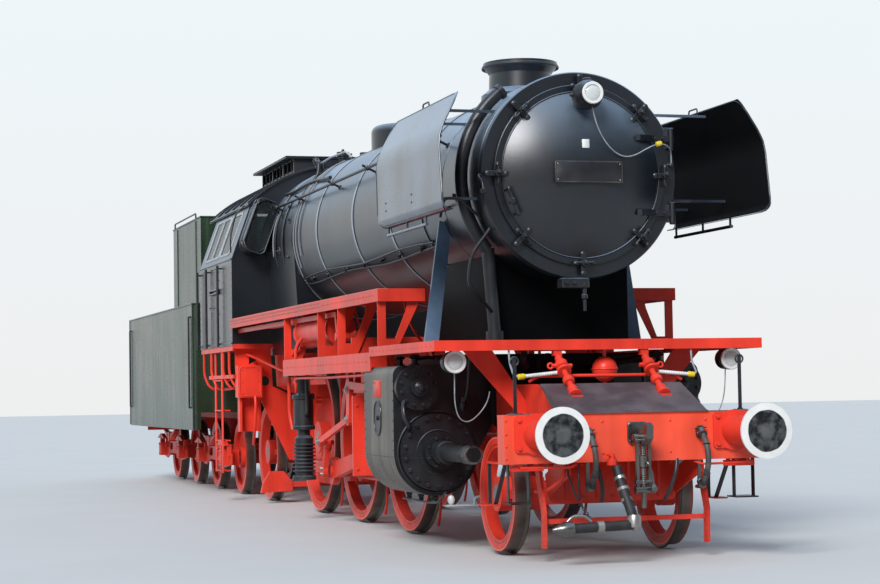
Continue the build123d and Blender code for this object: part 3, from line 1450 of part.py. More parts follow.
# Draw hook, screw coupling and the ends of the brake pipes
hose_rows = (-430.0, 560.0)
with BuildPart() as front_coupling:
    with BuildSketch(side_plane(0)):
        with BuildLine():
            Polyline(
                (x_beam + clear, rail + 1060), (x_beam + 190, rail + 1060),
                (x_beam + 250, rail + 1120), (x_beam + 300, rail + 1090),
                (x_beam + 290, rail + 990), (x_beam + 200, rail + 940),
                (x_beam + clear, rail + 980), close=True,
            )
        make_face()
    extrude(amount=30, both=True)
    for y in (-52, 52):
        box_between(x_beam + 120, x_beam + 150, y - 12, y + 12, rail + 560, rail + 1030)
    rod_y(x_beam + 135, 0, rail + 1010, 20, 150)
    rod_y(x_beam + 135, 0, rail + 570, 30, 150)
    rod_z(x_beam + 135, 0, rail + 420, rail + 800, 20)
    for y in hose_rows:
        rod_between((x_beam + 80, y, rail + 1010), (x_beam + 40, y, rail + 1050), 30)
        rod_x(x_beam + clear, x_beam + 45, y, rail + 1050, 34)
        rod_between((x_beam + 80, y, rail + 622), (x_beam + 40, y, rail + 582), 30)
        box_between(x_beam - 24, x_beam + 50, y - 14, y + 14, rail + 560, rail + 600)
        box_between(x_beam - 24, x_beam - 8, y - 14, y + 14, rail + 560,
                    rail + beam_low - clear)
save(front_coupling.part, "front_coupling")

# Brake hoses beside the hook, from their cocks on the beam to their rests below it
hose_radius = 24.0
hose_bends = [185, 200, 185]
hose_path = [(80.0, 1010.0), (158.0, 932.0), (189.0, 816.0), (158.0, 700.0), (80.0, 622.0)]
with BuildPart() as brake_hoses:
    for y in hose_rows:
        with BuildLine() as path:
            FilletPolyline(*[(x_beam + dx, y, rail + dz) for dx, dz in hose_path],
                           radius=hose_bends)
        with BuildSketch(Plane(origin=path.line @ 0, z_dir=path.line % 0)):
            Circle(hose_radius)
        sweep(path=path.line)
        length = path.wire().length
save(brake_hoses.part, "brake_hoses")
measured = brake_hoses.part.volume / len(hose_rows)
expected = pi * hose_radius ** 2 * length
print("hose bend radii", hose_bends, "length", round(length, 1))
print("hose volume", round(measured), "section by length", round(expected))

# Boiler fittings: safety valves, turret and whistle, and the pipes round the smokebox
exhaust_radius = 58.0
with BuildPart() as boiler_fittings:
    for y in (-190, 190):
        rod_z(x_firebox - 700, y, z_boiler + 900, z_boiler + 1090, 55)
        rod_z(x_firebox - 700, y, z_boiler + 1090, z_boiler + 1150, 80)
    rod_z(x_firebox - 300, 0, z_boiler + 900, z_boiler + 1100, 70)
    box_between(x_firebox - 1250, x_firebox - 1100, -350, 350, z_boiler + 800, z_boiler + 1100)
    x_whistle = x_firebox - 1370
    rod_z(x_whistle, 0, z_boiler + 900, z_boiler + 1120, 58)
    rod_z(x_whistle, 0, z_boiler + 1120, z_boiler + 1215, 26)
    rod_y(x_whistle, 0, z_boiler + 1205, 14, 190)
    pipe_x = x_lead - 330
    ring = smokebox_radius + exhaust_radius + 12
    spots = [(-ring * cos(radians(a)), z_boiler + ring * sin(radians(a))) for a in (52, 8, -40)]
    with BuildLine() as exhaust:
        ThreePointArc(*[(pipe_x, y, z) for y, z in spots])
    with BuildSketch(Plane(origin=exhaust.line @ 0, z_dir=exhaust.line % 0)):
        Circle(exhaust_radius)
    sweep(path=exhaust.line)
    start = exhaust.line @ 0
    lead = exhaust.line % 0
    rod_between(tuple(start - lead * 22), tuple(start + lead * 22), exhaust_radius + 11)
    knee = (pipe_x, spots[2][0] + 6, spots[2][1] + 9)
    rod_between(knee, (pipe_x, knee[1] + 54, z_platform + 70), exhaust_radius)
    rod_z(pipe_x, knee[1] + 54, z_platform + clear, z_platform + 100, exhaust_radius + 24)
    add(boiler_space.part, mode=Mode.SUBTRACT)
save(boiler_fittings.part, "boiler_fittings")

# Backhead fittings and seats in the cab
with BuildPart() as cab_fittings:
    box_between(x_backhead - 60, x_backhead - clear, -280, 280, z_cab_floor + 350, z_cab_floor + 800)
    for side in (-1, 1):
        y = side * 1150
        box_between(x_cab_rear + 60, x_cab_rear + 420, y - 190, y + 190, z_cab_floor + 520,
                    z_cab_floor + 570)
        rod_z(x_cab_rear + 240, y, z_cab_floor + clear, z_cab_floor + 520, 45)
save(cab_fittings.part, "cab_fittings")

# Window panes of the cab
with BuildPart() as cab_windows:
    for side in (-1, 1):
        for x0, x1 in ((x_cab_front - 1000, x_cab_front - 320), (x_cab_rear + 300, x_cab_front - 1080)):
            with BuildSketch(cross_plane(x0 + clear)):
                run = (cab_half - cab_eave_half) / (cab_eave - cab_waist)
                with BuildLine():
                    low = 90.0 + clear
                    high = cab_eave - cab_waist - 110.0 - clear
                    Polyline(
                        (side * (cab_half - 2 - run * low), z_waist + low),
                        (side * (cab_half - 2 - run * high), z_waist + high),
                        (side * (cab_half - 6 - run * high), z_waist + high),
                        (side * (cab_half - 6 - run * low), z_waist + low),
                        close=True,
                    )
                make_face()
            extrude(amount=x1 - x0 - 2 * clear)
        with BuildSketch(cross_plane(x_cab_front + hood_depth - 30)):
            with Locations((side * hood_out, z_waist + hood_lift)):
                SlotOverall(hood_height - 16 - 2 * clear, hood_width - 16 - 2 * clear,
                            rotation=90 + side * hood_lean)
        extrude(amount=5)
save(cab_windows.part, "cab_windows")
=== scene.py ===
import math
import bmesh
import bpy
import numpy as np
from mathutils import Matrix


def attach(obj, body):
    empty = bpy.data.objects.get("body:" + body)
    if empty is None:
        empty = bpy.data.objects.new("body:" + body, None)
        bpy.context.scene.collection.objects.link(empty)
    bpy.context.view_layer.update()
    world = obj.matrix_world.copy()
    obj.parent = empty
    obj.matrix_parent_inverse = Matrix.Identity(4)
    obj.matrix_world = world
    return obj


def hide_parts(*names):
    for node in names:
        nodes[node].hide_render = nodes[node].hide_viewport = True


# Steam locomotive with tender, in metres, x forward, y to the engine's left, z up
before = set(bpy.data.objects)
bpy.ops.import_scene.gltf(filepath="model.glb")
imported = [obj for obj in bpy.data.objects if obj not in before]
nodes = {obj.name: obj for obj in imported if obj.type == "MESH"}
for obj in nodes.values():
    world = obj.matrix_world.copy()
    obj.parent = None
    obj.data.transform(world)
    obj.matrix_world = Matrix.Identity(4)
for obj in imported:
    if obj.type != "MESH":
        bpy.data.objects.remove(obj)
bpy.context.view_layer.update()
print("frame loaded:", len(nodes), "nodes")

engine = {
    "lead": 8.7725, "drivers": (5.8725, 3.8725, 1.8725), "trail": -1.1275, "beam": 10.0125,
    "tender": (-3.1525, -5.0525, -6.9525, -8.8525), "rail": 0.028, "boiler": 3.328,
    "cabFront": -0.1275, "cabRear": -2.5275, "cabHalf": 1.475, "floor": 2.078, "waist": 3.178,
    "cylinder": 7.3425, "chimney": 7.2125, "dome": 3.0525, "dish": 8.8285, "valve": 1.468,
    "cylinderHigh": 0.878, "bufferHalf": 0.875, "bufferHigh": 1.068,
}
sides = (-1, 1)
xAxis, yAxis, zAxis = (1, 0, 0), (0, 1, 0), (0, 0, 1)

# Camera where the photographer stood, looking back along the engine's right flank
cameraSet = {"place": (25.6425, -6.29, 1.438), "yaw": 16.46, "pitch": 2.78, "roll": -0.95,
             "lens": 82.84, "sensor": 36.0}


def makeCamera(s):
    yaw, pitch, roll = (math.radians(s[k]) for k in ("yaw", "pitch", "roll"))
    ahead = np.array([-math.cos(yaw) * math.cos(pitch), math.sin(yaw) * math.cos(pitch), math.sin(pitch)])
    right = np.cross(ahead, [0, 0, 1])
    right /= np.linalg.norm(right)
    up = np.cross(right, ahead)
    c, n = math.cos(roll), math.sin(roll)
    axes = np.array([c * right + n * up, -n * right + c * up, -ahead]).T
    data = bpy.data.cameras.new("photoCamera")
    data.lens = s["lens"]
    data.sensor_width = s["sensor"]
    data.clip_end = 400
    camera = bpy.data.objects.new("photoCamera", data)
    placed = np.eye(4)
    placed[:3, :3] = axes
    placed[:3, 3] = s["place"]
    camera.matrix_world = Matrix(placed.tolist())
    bpy.context.scene.collection.objects.link(camera)
    bpy.context.scene.camera = camera


makeCamera(cameraSet)
bpy.context.scene.view_settings.view_transform = "Standard"


# A number or colour in a shader, so that masks are written as plain sums
class Value:
    def __init__(self, graph, socket):
        self.graph = graph
        self.socket = socket

    def join(self, operation, other, swapped=False):
        pair = [other, self] if swapped else [self, other]
        return self.graph.add("ShaderNodeMath", {"operation": operation}, pair)

    def __add__(self, other):
        return self.join("ADD", other)

    def __radd__(self, other):
        return self.join("ADD", other, True)

    def __sub__(self, other):
        return self.join("SUBTRACT", other)

    def __rsub__(self, other):
        return self.join("SUBTRACT", other, True)

    def __mul__(self, other):
        return self.join("MULTIPLY", other)

    def __rmul__(self, other):
        return self.join("MULTIPLY", other, True)

    def __pow__(self, other):
        return self.join("POWER", other)

    def __mod__(self, other):
        return self.join("FLOORED_MODULO", other)

    def __abs__(self):
        return self.join("ABSOLUTE", 0.0)


class Graph:
    def __init__(self, name):
        self.material = bpy.data.materials.new(name)
        self.material.use_nodes = True
        self.tree = self.material.node_tree
        self.tree.nodes.clear()
        self.place = self.add("ShaderNodeTexCoord", {}, {}, "Object")
        self.x, self.y, self.z = (self.add("ShaderNodeSeparateXYZ", {}, [self.place], k)
            for k in ("X", "Y", "Z"))

    # Any node: its type, its settings, its inputs by name or in order, and the output wanted
    def add(self, kind, settings, inputs, output=0):
        node = self.tree.nodes.new(kind)
        for key, value in settings.items():
            setattr(node, key, value)
        pairs = inputs.items() if isinstance(inputs, dict) else enumerate(inputs)
        for key, value in pairs:
            if isinstance(value, Value):
                self.tree.links.new(value.socket, node.inputs[key])
            else:
                node.inputs[key].default_value = value
        return Value(self, node.outputs[output]) if len(node.outputs) else node

    def noise(self, scale, detail=3.0, stretch=None, output="Fac"):
        where = self.place
        if stretch:
            where = self.add("ShaderNodeMapping", {}, {"Vector": self.place, "Scale": stretch})
        return self.add("ShaderNodeTexNoise", {}, {"Vector": where, "Scale": scale, "Detail": detail},
            output)

    def step(self, value, low, high):
        return self.add("ShaderNodeMapRange", {"interpolation_type": "SMOOTHSTEP"},
            {"Value": value, "From Min": low, "From Max": high})

    def mix(self, share, first, second):
        parts = [(*c, 1) if isinstance(c, tuple) else c for c in (first, second)]
        return self.add("ShaderNodeMix", {"data_type": "RGBA"}, {0: share, 6: parts[0], 7: parts[1]}, 2)

    def facing(self, axis):
        normal = self.add("ShaderNodeNewGeometry", {}, {}, "Normal")
        return self.add("ShaderNodeSeparateXYZ", {}, [normal], axis)

    def radius(self, a, b, at):
        return ((a - at[0]) ** 2.0 + (b - at[1]) ** 2.0) ** 0.5

    # 1 within half a width of a place, 0 away from it
    def band(self, value, at, half, soft=0.002):
        return 1.0 - self.step(abs(value - at), half, half + soft)

    def finish(self, colour, roughness, metallic=0.0, bump=None, depth=0.002, fixed=None):
        links = {"Base Color": (*colour, 1) if isinstance(colour, tuple) else colour,
            "Roughness": roughness, "Metallic": metallic}
        if bump is not None:
            links["Normal"] = self.add("ShaderNodeBump", {},
                {"Height": bump, "Distance": depth, "Strength": 0.6}, "Normal")
        links.update(fixed or {})
        shader = self.add("ShaderNodeBsdfPrincipled", {}, links)
        self.add("ShaderNodeOutputMaterial", {}, {"Surface": shader})
        return self.material


# Paint with broad fading, fine grain, dust and a painted sky sheen on what faces up, and road dirt with
# painted shade low down
def paint(name, colour, s):
    g = Graph(name)
    broad = g.noise(s.get("broad", 1.1), 4.0)
    fine = g.noise(s.get("fine", 34.0), 4.0)
    runs = g.noise(7.0, 4.0, (1.0, 1.0, 0.14))
    shade = (broad - 0.5) * s.get("fade", 0.5) + (runs - 0.5) * s.get("runs", 0.25)
    pale = tuple(min(1.0, c * s.get("lift", 1.3) + s.get("raise", 0.004)) for c in colour)
    deep = tuple(c * s.get("sink", 0.66) for c in colour)
    tone = g.mix(g.step(shade, -0.22, 0.22), deep, pale)
    # What faces up is lightened towards one colour: partly real dust, partly a painted sheen of sky light
    up = g.step(g.facing("Z"), s.get("upLow", 0.5), 0.98)
    dustAndSheen = up * (0.45 + 0.55 * g.step(broad, 0.34, 0.7)) * s.get("dustAndSheen", 0.35)
    tone = g.mix(dustAndSheen, tone, s.get("sheenAndDustColour", (0.17, 0.15, 0.13)))
    # Darker low down towards the floor: road dirt, and painted shade under the engine
    low = (1.0 - g.step(g.z, 0.1, 1.1)) * g.step(broad * 0.6 + fine * 0.4, 0.38, 0.64)
    tone = g.mix(low * s.get("dirtAndShade", 0.4), tone, (0.055, 0.04, 0.032))
    chips = g.step(fine * 0.55 + runs * 0.45, 0.655, 0.70) * s.get("chips", 0.5)
    tone = g.mix(chips, tone, s.get("chip", (0.05, 0.03, 0.022)))
    rough = s["rough"] + (broad - 0.5) * 0.18 + (fine - 0.5) * 0.08 + dustAndSheen * 0.3 + low * 0.2
    grain = g.noise(s.get("grain", 120.0), 2.0) * 0.3 + broad * s.get("dents", 1.0)
    return g, tone, rough, grain


# The paint above with its clear coat and gloss, finished as a material
def paintMaterial(name, colour, s):
    g, tone, rough, grain = paint(name, colour, s)
    fixed = {"Coat Weight": s.get("coat", 0.0), "Coat Roughness": s.get("coatRough", 0.2),
        "Specular IOR Level": s.get("gloss", 0.5)}
    return g.finish(tone, rough, 0.0, grain, s.get("depth", 0.003), fixed)


red = (0.72, 0.042, 0.022)
# On what faces up the red goes towards a paler red: a painted sheen, with a little dust
redSet = {"rough": 0.34, "dustAndSheen": 0.10, "gloss": 0.22, "sheenAndDustColour": (0.34, 0.11, 0.08), "chips": 0.35,
          "chip": (0.09, 0.02, 0.014), "sink": 0.60, "lift": 1.25, "coat": 0.06, "coatRough": 0.15}
black = (0.0034, 0.0052, 0.0085)
# Pale blue put on what faces up of the black paints: a painted sky reflection
paintedSkySheen = (0.225, 0.31, 0.42)
blackSet = {"rough": 0.32, "lift": 1.7, "raise": 0.001, "dirtAndShade": 0.2, "chips": 0.12, "fade": 0.4,
            "chip": (0.03, 0.027, 0.025), "gloss": 0.5, "dustAndSheen": 1.0, "upLow": 0.0, "sheenAndDustColour": paintedSkySheen,
            "dents": 1.4, "coat": 0.5, "coatRough": 0.32}
paints = {
    "boilerBlack": (black, blackSet),
    "fittingBlack": ((0.008, 0.0085, 0.0105), {
        "rough": 0.36, "lift": 2.2, "raise": 0.003, "dustAndSheen": 0.5, "sheenAndDustColour": paintedSkySheen, "gloss": 0.45,
        "broad": 5.0, "chips": 0.3, "chip": (0.06, 0.055, 0.05)}),
    "deepBlack": ((0.0032, 0.0034, 0.004), {
        "rough": 0.55, "lift": 1.8, "raise": 0.0, "gloss": 0.2, "dustAndSheen": 0.15, "chips": 0.15}),
    "frameRed": (red, redSet),
    # Roof black: what faces up goes pale blue-grey, dust and a painted sky sheen
    "roofBlack": ((0.010, 0.012, 0.016), {
        "rough": 0.42, "dustAndSheen": 0.8, "sheenAndDustColour": (0.15, 0.18, 0.22), "raise": 0.003}),
    "casingGrey": ((0.045, 0.043, 0.034), {
        "rough": 0.42, "lift": 2.0, "runs": 0.8, "chips": 0.45, "chip": (0.16, 0.15, 0.12),
        "sheenAndDustColour": (0.20, 0.20, 0.19), "dustAndSheen": 0.6, "upLow": 0.0, "gloss": 0.45}),
}
finishes = {name: paintMaterial(name, *row) for name, row in paints.items()}


# Tender sides: dark glossy green, pale streaks running down and thin weld seams
def tenderSides():
    g, tone, rough, grain = paint("tenderGreen", (0.012, 0.026, 0.014),
        {"rough": 0.27, "lift": 2.0, "dents": 2.2, "dustAndSheen": 0.6, "sheenAndDustColour": (0.10, 0.14, 0.12),
        "raise": 0.002})
    streak = g.step(g.noise(5.0, 5.0, (1.6, 1.6, 0.06)), 0.48, 0.76)
    tone = g.mix(streak * 0.5, tone, (0.062, 0.098, 0.062))
    seam = g.band((g.x + 0.55) % 1.64, 0.82, 0.004, 0.006)
    tone = g.mix(seam * 0.6, tone, (0.004, 0.005, 0.005))
    return g.finish(tone, rough + streak * 0.1, 0.0, grain - seam * 1.2, 0.006,
        {"Specular IOR Level": 0.55})


finishes["tenderGreen"] = tenderSides()


# Bare metal brushed one way, with stains that dull it
def metal(name, colour, s):
    g = Graph(name)
    broad = g.noise(s.get("broad", 6.0), 4.0)
    brush = g.noise(60.0, 3.0, s.get("stretch", (0.08, 1.0, 1.0)))
    stain = g.step(broad, 0.42, 0.72)
    tone = g.mix(stain * s.get("stain", 0.6), colour, s.get("rust", (0.08, 0.05, 0.035)))
    rough = s["rough"] + (brush - 0.5) * 0.25 + stain * 0.25
    return g.finish(tone, rough, 1.0 - stain * 0.7, brush, 0.0008)


finishes["bareSteel"] = metal("bareSteel", (0.36, 0.35, 0.33), {"rough": 0.36})
finishes["oilySteel"] = metal("oilySteel", (0.16, 0.155, 0.145), {"rough": 0.30, "stain": 0.5,
                              "rust": (0.03, 0.022, 0.016)})


# Red all round with a black tread on top; the upper boards' edges have two rows of small holes drawn as
# painted shade, and a painted highlight along their top edge
def edgedBoard():
    g, tone, rough, grain = paint("edgedBoard", red, redSet)
    side = g.step(abs(g.y), 1.492, 1.498) * (1.0 - g.step(g.x, 4.95, 5.0))
    holes = []
    for height, shift in ((2.366, 0.0), (2.328, 0.04)):
        reach = abs((g.x + shift) % 0.08 - 0.04)
        holes.append(g.step((reach ** 2.0 * 0.30 + (g.z - height) ** 2.0) ** 0.5, 0.0105, 0.0130))
    # The holes are painted near black: painted shade in them
    holeShade = side * (1.0 - holes[0] * holes[1])
    tone = g.mix(holeShade * 0.9, tone, (0.05, 0.006, 0.004))
    # A thin pale red line along the boards' top edge: a painted highlight
    lip = g.band(g.z, 2.3955, 0.0015, 0.002) * g.step(abs(g.y), 1.4, 1.41)
    tone = g.mix(lip * 0.5, tone, (0.8, 0.25, 0.2))
    top = g.step(g.facing("Z"), 0.8, 0.95)
    plate = g.mix(g.step(g.noise(3.0), 0.35, 0.65), (0.012, 0.012, 0.013), (0.035, 0.034, 0.033))
    tone = g.mix(top, tone, plate)
    return g.finish(tone, rough + top * 0.12, 0.0, grain - holeShade * 3.0, 0.003,
        {"Specular IOR Level": 0.22})


finishes["edgedBoard"] = edgedBoard()


# Wheels: red centres, with bare treads and flanges where they run on the rail
def wheelPaint(name, at, radius):
    g, tone, rough, grain = paint(name, red, {**redSet, "dirtAndShade": 0.3})
    r = g.radius(g.x, g.z, at)
    tread = g.step(r, radius - 0.006, radius - 0.001)
    tone = g.mix(tread, tone, g.mix(g.noise(9.0), (0.17, 0.15, 0.135), (0.055, 0.042, 0.034)))
    groove = g.band(r, radius - 0.072, 0.003, 0.003)
    tone = g.mix(groove * 0.7, tone, (0.06, 0.012, 0.008))
    glint = g.band(r, radius - 0.012, 0.004, 0.004) * (1.0 - tread)
    tone = g.mix(glint * 0.35, tone, (0.9, 0.35, 0.28))
    hub = (1.0 - g.step(r, 0.075, 0.083)) * g.step(abs(g.y), 0.812, 0.818)
    tone = g.mix(hub, tone, (0.2, 0.19, 0.18))
    return g.finish(tone, rough, tread * 0.9, grain, 0.003, {"Specular IOR Level": 0.22})


wheelRows = [("leading_wheelset", engine["lead"], 0.5)]
wheelRows += [(f"driving_wheelset_{place}", x, 0.875)
              for place, x in zip(("front", "main", "rear"), engine["drivers"])]
wheelRows += [("trailing_wheelset", engine["trail"], 0.625)]
wheelRows += [(f"tender_wheelset_{k}", x, 0.5) for k, x in enumerate(engine["tender"], 1)]


# Buffers: red sleeves, steel rams, white rims round greased discs
def bufferPaint(name, face):
    g, tone, rough, grain = paint(name, red, redSet)
    r = g.radius(abs(g.y), g.z, (engine["bufferHalf"], engine["bufferHigh"]))
    out = g.step(g.x * face[0], face[1] + 0.385, face[1] + 0.39)
    ram = g.mix(g.noise(20.0), (0.05, 0.045, 0.04), (0.11, 0.10, 0.09))
    tone = g.mix(out, tone, ram)
    plate = g.step(g.x * face[0], face[1] + 0.598, face[1] + 0.606)
    tone = g.mix(plate, tone, g.mix(g.noise(14.0), (0.60, 0.59, 0.57), (0.76, 0.76, 0.74)))
    worn = g.noise(9.0, 5.0) * 0.02 + r
    disc = plate * (1.0 - g.step(worn, 0.176, 0.184))
    grease = g.mix(g.step(g.noise(16.0, 5.0), 0.35, 0.68), (0.014, 0.015, 0.017), (0.10, 0.105, 0.11))
    rubbed = 1.0 - g.step(g.noise(12.0, 5.0) * 0.05 + r, 0.07, 0.11)
    grease = g.mix(rubbed * 0.6, grease, (0.16, 0.165, 0.16))
    tone = g.mix(disc, tone, grease)
    rough = rough + disc * 0.05
    return g.finish(tone, rough, disc * 0.5, grain, 0.002, {"Specular IOR Level": 0.3})


# Gives CAD nodes their material
def dress(names, material):
    for name in names:
        data = nodes[name].data
        data.materials.clear()
        data.materials.append(material)


for name, x, radius in wheelRows:
    dress([name], wheelPaint(name + "Paint", (x, engine["rail"] + radius), radius))
dress(["front_buffers"], bufferPaint("frontBufferPaint", (1.0, engine["beam"])))
dress(["tender_fittings"], bufferPaint("rearBufferPaint", (-1.0, engine["beam"])))


# Guard irons and ladders red, the front steps under the beam black
def stepPaint():
    g, tone, rough, grain = paint("stepPaint", red, redSet)
    front = g.step(g.x, 8.95, 8.96) * g.step(abs(g.y), 0.83, 0.84) * (1.0 - g.step(g.z, 0.822, 0.826))
    dark = g.mix(g.step(g.noise(7.0, 4.0), 0.35, 0.7), (0.006, 0.006, 0.007), (0.03, 0.03, 0.033))
    return g.finish(g.mix(front, tone, dark), rough, 0.0, grain, 0.003, {"Specular IOR Level": 0.25})


dress(["steps_and_guards"], stepPaint())


# Saddle casing near black with dull plates, its two struts black with a painted blue sky reflection
def supportPaint():
    g, tone, rough, grain = paint("supportPaint", (0.0016, 0.0018, 0.0022),
        {"rough": 0.55, "gloss": 0.1, "dustAndSheen": 0.1, "chips": 0.1, "raise": 0.0, "dirtAndShade": 0.1})
    strut = g.step(abs(g.y), 0.76, 0.78)
    # The struts' blue: a painted sky reflection on black steel
    paintedSkyBlue = g.mix(g.step(g.noise(2.5, 4.0), 0.35, 0.65), (0.085, 0.136, 0.215), (0.130, 0.195, 0.290))
    return g.finish(g.mix(strut, tone, paintedSkyBlue), rough - strut * 0.15, 0.0, grain, 0.003,
        {"Specular IOR Level": 0.06, "Coat Weight": strut * 0.5})


dress(["smokebox_supports"], supportPaint())


# Deflectors: glossy black outside with a painted blue sky reflection in patches and a painted sky sheen on
# what faces up, dull and sooty inside
def deflectorPaint():
    g, tone, rough, grain = paint("deflectorPaint", (0.0055, 0.0068, 0.0095),
        {"rough": 0.26, "lift": 1.6, "raise": 0.001, "dustAndSheen": 0.8, "upLow": -0.1, "dents": 2.4,
        "sheenAndDustColour": (0.28, 0.34, 0.42)})
    outward = g.facing("Y") * g.add("ShaderNodeMath", {"operation": "SIGN"}, [g.y])
    inner = 1.0 - g.step(outward, -0.35, -0.15)
    dull = g.mix(g.noise(2.0), (0.0012, 0.0012, 0.0014), (0.0030, 0.0030, 0.0034))
    # Pale blue patches on the outside: a painted sky reflection
    paintedSkyHaze = g.step(g.noise(1.3, 3.0, (1.0, 1.0, 0.5)), 0.3, 0.75) * (1.0 - inner)
    tone = g.mix(paintedSkyHaze * 0.62, tone, (0.135, 0.195, 0.29))
    tone = g.mix(inner, tone, dull)
    return g.finish(tone, rough + inner * 0.45, 0.0, grain, 0.007,
        {"Specular IOR Level": 0.12, "Coat Weight": 1.0 - inner, "Coat Roughness": 0.22})


dress(["smoke_deflectors"], deflectorPaint())


# Cylinders: weathered grey casing with a seam, black castings behind and in front
def cylinderPaint():
    g, tone, rough, grain = paint("cylinderPaint", (0.066, 0.058, 0.043),
        {"rough": 0.40, "lift": 1.9, "runs": 0.9, "fade": 0.7, "chips": 0.45, "chip": (0.20, 0.19, 0.15),
        "sheenAndDustColour": (0.22, 0.23, 0.23), "dustAndSheen": 0.75, "upLow": 0.0, "gloss": 0.5, "dirtAndShade": 0.25})
    seam = g.band(g.z, 0.835, 0.003, 0.004) + g.band(g.x, 7.36, 0.002, 0.004) * g.step(g.z, 0.835, 0.84)
    tone = g.mix(seam * 0.7, tone, (0.012, 0.011, 0.009))
    ends = g.step(abs(g.x - engine["cylinder"]), 0.5285, 0.5295)
    dark = g.mix(g.step(g.noise(6.0, 4.0), 0.35, 0.7), (0.0035, 0.004, 0.005), (0.012, 0.0135, 0.017))
    tone = g.mix(ends, tone, dark)
    return g.finish(tone, rough, 0.0, grain - seam, 0.004, {"Specular IOR Level": 0.45})


dress(["cylinders"], cylinderPaint())


# Buffer beam in a brighter, more orange copy of the frame red, painted sunlight; its sloping apron grey
def beamPaint():
    # This red is the frame red lightened as if in sun: painted sunlight
    g, tone, rough, grain = paint("beamPaint", (0.80, 0.075, 0.034), redSet)
    apron = g.step(g.z, 1.2285, 1.2295)
    plate = g.mix(g.step(g.noise(4.0), 0.35, 0.65), (0.060, 0.053, 0.060), (0.105, 0.095, 0.105))
    checks = g.add("ShaderNodeTexChecker", {}, {"Vector": g.place, "Scale": 42.0}, "Fac")
    tone = g.mix(apron, tone, plate)
    return g.finish(tone, rough, 0.0, grain + checks * apron * 0.4, 0.003, {"Specular IOR Level": 0.4})


dress(["buffer_beam"], beamPaint())


# Tinted glass with smears, partly open to what is behind
def glassMaterial(name, tint, alpha):
    g = Graph(name)
    smears = g.noise(5.0, 4.0)
    return g.finish(g.mix(smears, tint, tuple(c * 0.8 for c in tint)), 0.04 + smears * 0.06, 0.0, None,
        0.0, {"Alpha": alpha})


finishes["paneGlass"] = glassMaterial("paneGlass", (0.02, 0.025, 0.028), 0.55)
finishes["lampGlass"] = glassMaterial("lampGlass", (0.66, 0.69, 0.68), 0.92)


# Hoses and cables; bands are ribs across the length where a hose is ribbed
def rubberMaterial(name, dark, pale, rib=0.0):
    g = Graph(name)
    broad = g.noise(12.0, 4.0)
    tone = g.mix(g.step(broad, 0.35, 0.7), dark, pale)
    ribs = g.add("ShaderNodeTexWave", {"bands_direction": "Z"}, {"Vector": g.place, "Scale": 30.0}, "Fac")
    return g.finish(tone, 0.5 + broad * 0.2, 0.0, ribs * rib + broad, 0.0015)


finishes["hoseRubber"] = rubberMaterial("hoseRubber", (0.035, 0.033, 0.031), (0.085, 0.078, 0.07), 0.5)
finishes["blackRubber"] = rubberMaterial("blackRubber", (0.008, 0.008, 0.009), (0.02, 0.02, 0.021), 0.6)
finishes["cableGrey"] = rubberMaterial("cableGrey", (0.20, 0.22, 0.24), (0.34, 0.36, 0.38))


# Light plain finishes, a little darker in patches
def paleMaterial(name, colour, scale):
    g = Graph(name)
    broad = g.noise(scale, 4.0)
    tone = g.mix(g.step(broad, 0.3, 0.8), colour, tuple(c * 0.74 for c in colour))
    return g.finish(tone, 0.4 + broad * 0.2, 0.0, broad, 0.001)


paleRows = {"rimWhite": ((0.72, 0.72, 0.70), 8.0), "plugYellow": ((0.74, 0.55, 0.02), 40.0),
            # The boiler bands' pale blue-grey: their own grey, and a painted sky highlight
            "bandGreyAndHighlight": ((0.34, 0.38, 0.42), 3.0), "pipeGrey": ((0.18, 0.20, 0.22), 4.0),
            "frameSilver": ((0.40, 0.43, 0.46), 5.0)}
finishes.update({name: paleMaterial(name, *row) for name, row in paleRows.items()})
dressRows = {
    "boilerBlack": "smokebox boiler_barrel firebox chimney steam_dome smokebox_door cab_side_right "
                   "cab_side_left cab_front cab_rear cab_door_right cab_door_left",
    "fittingBlack": "pumps door_fittings boiler_fittings cab_fittings headlamps handrails",
    "tenderGreen": "tender_tank coal_bunker filler_lid",
    "roofBlack": "cab_roof roof_ventilator",
    "frameRed": "main_frame platform_supports main_rods motion_brackets valve_gear air_reservoirs ash_pan "
                "cab_floor brake_gear coupling_rod_right coupling_rod_left leading_truck trailing_truck "
                "tender_frame tender_bogie_front tender_bogie_rear",
    "edgedBoard": "front_platform running_boards", "oilySteel": "front_coupling",
    "paneGlass": "cab_windows", "hoseRubber": "brake_hoses"}
for finish, names in dressRows.items():
    dress(names.split(), finishes[finish])
print("materials:", len(finishes))


# Points of the engine's left side, brought to either side
def flip(side, points):
    return [(x, side * y, z) for x, y, z in points]


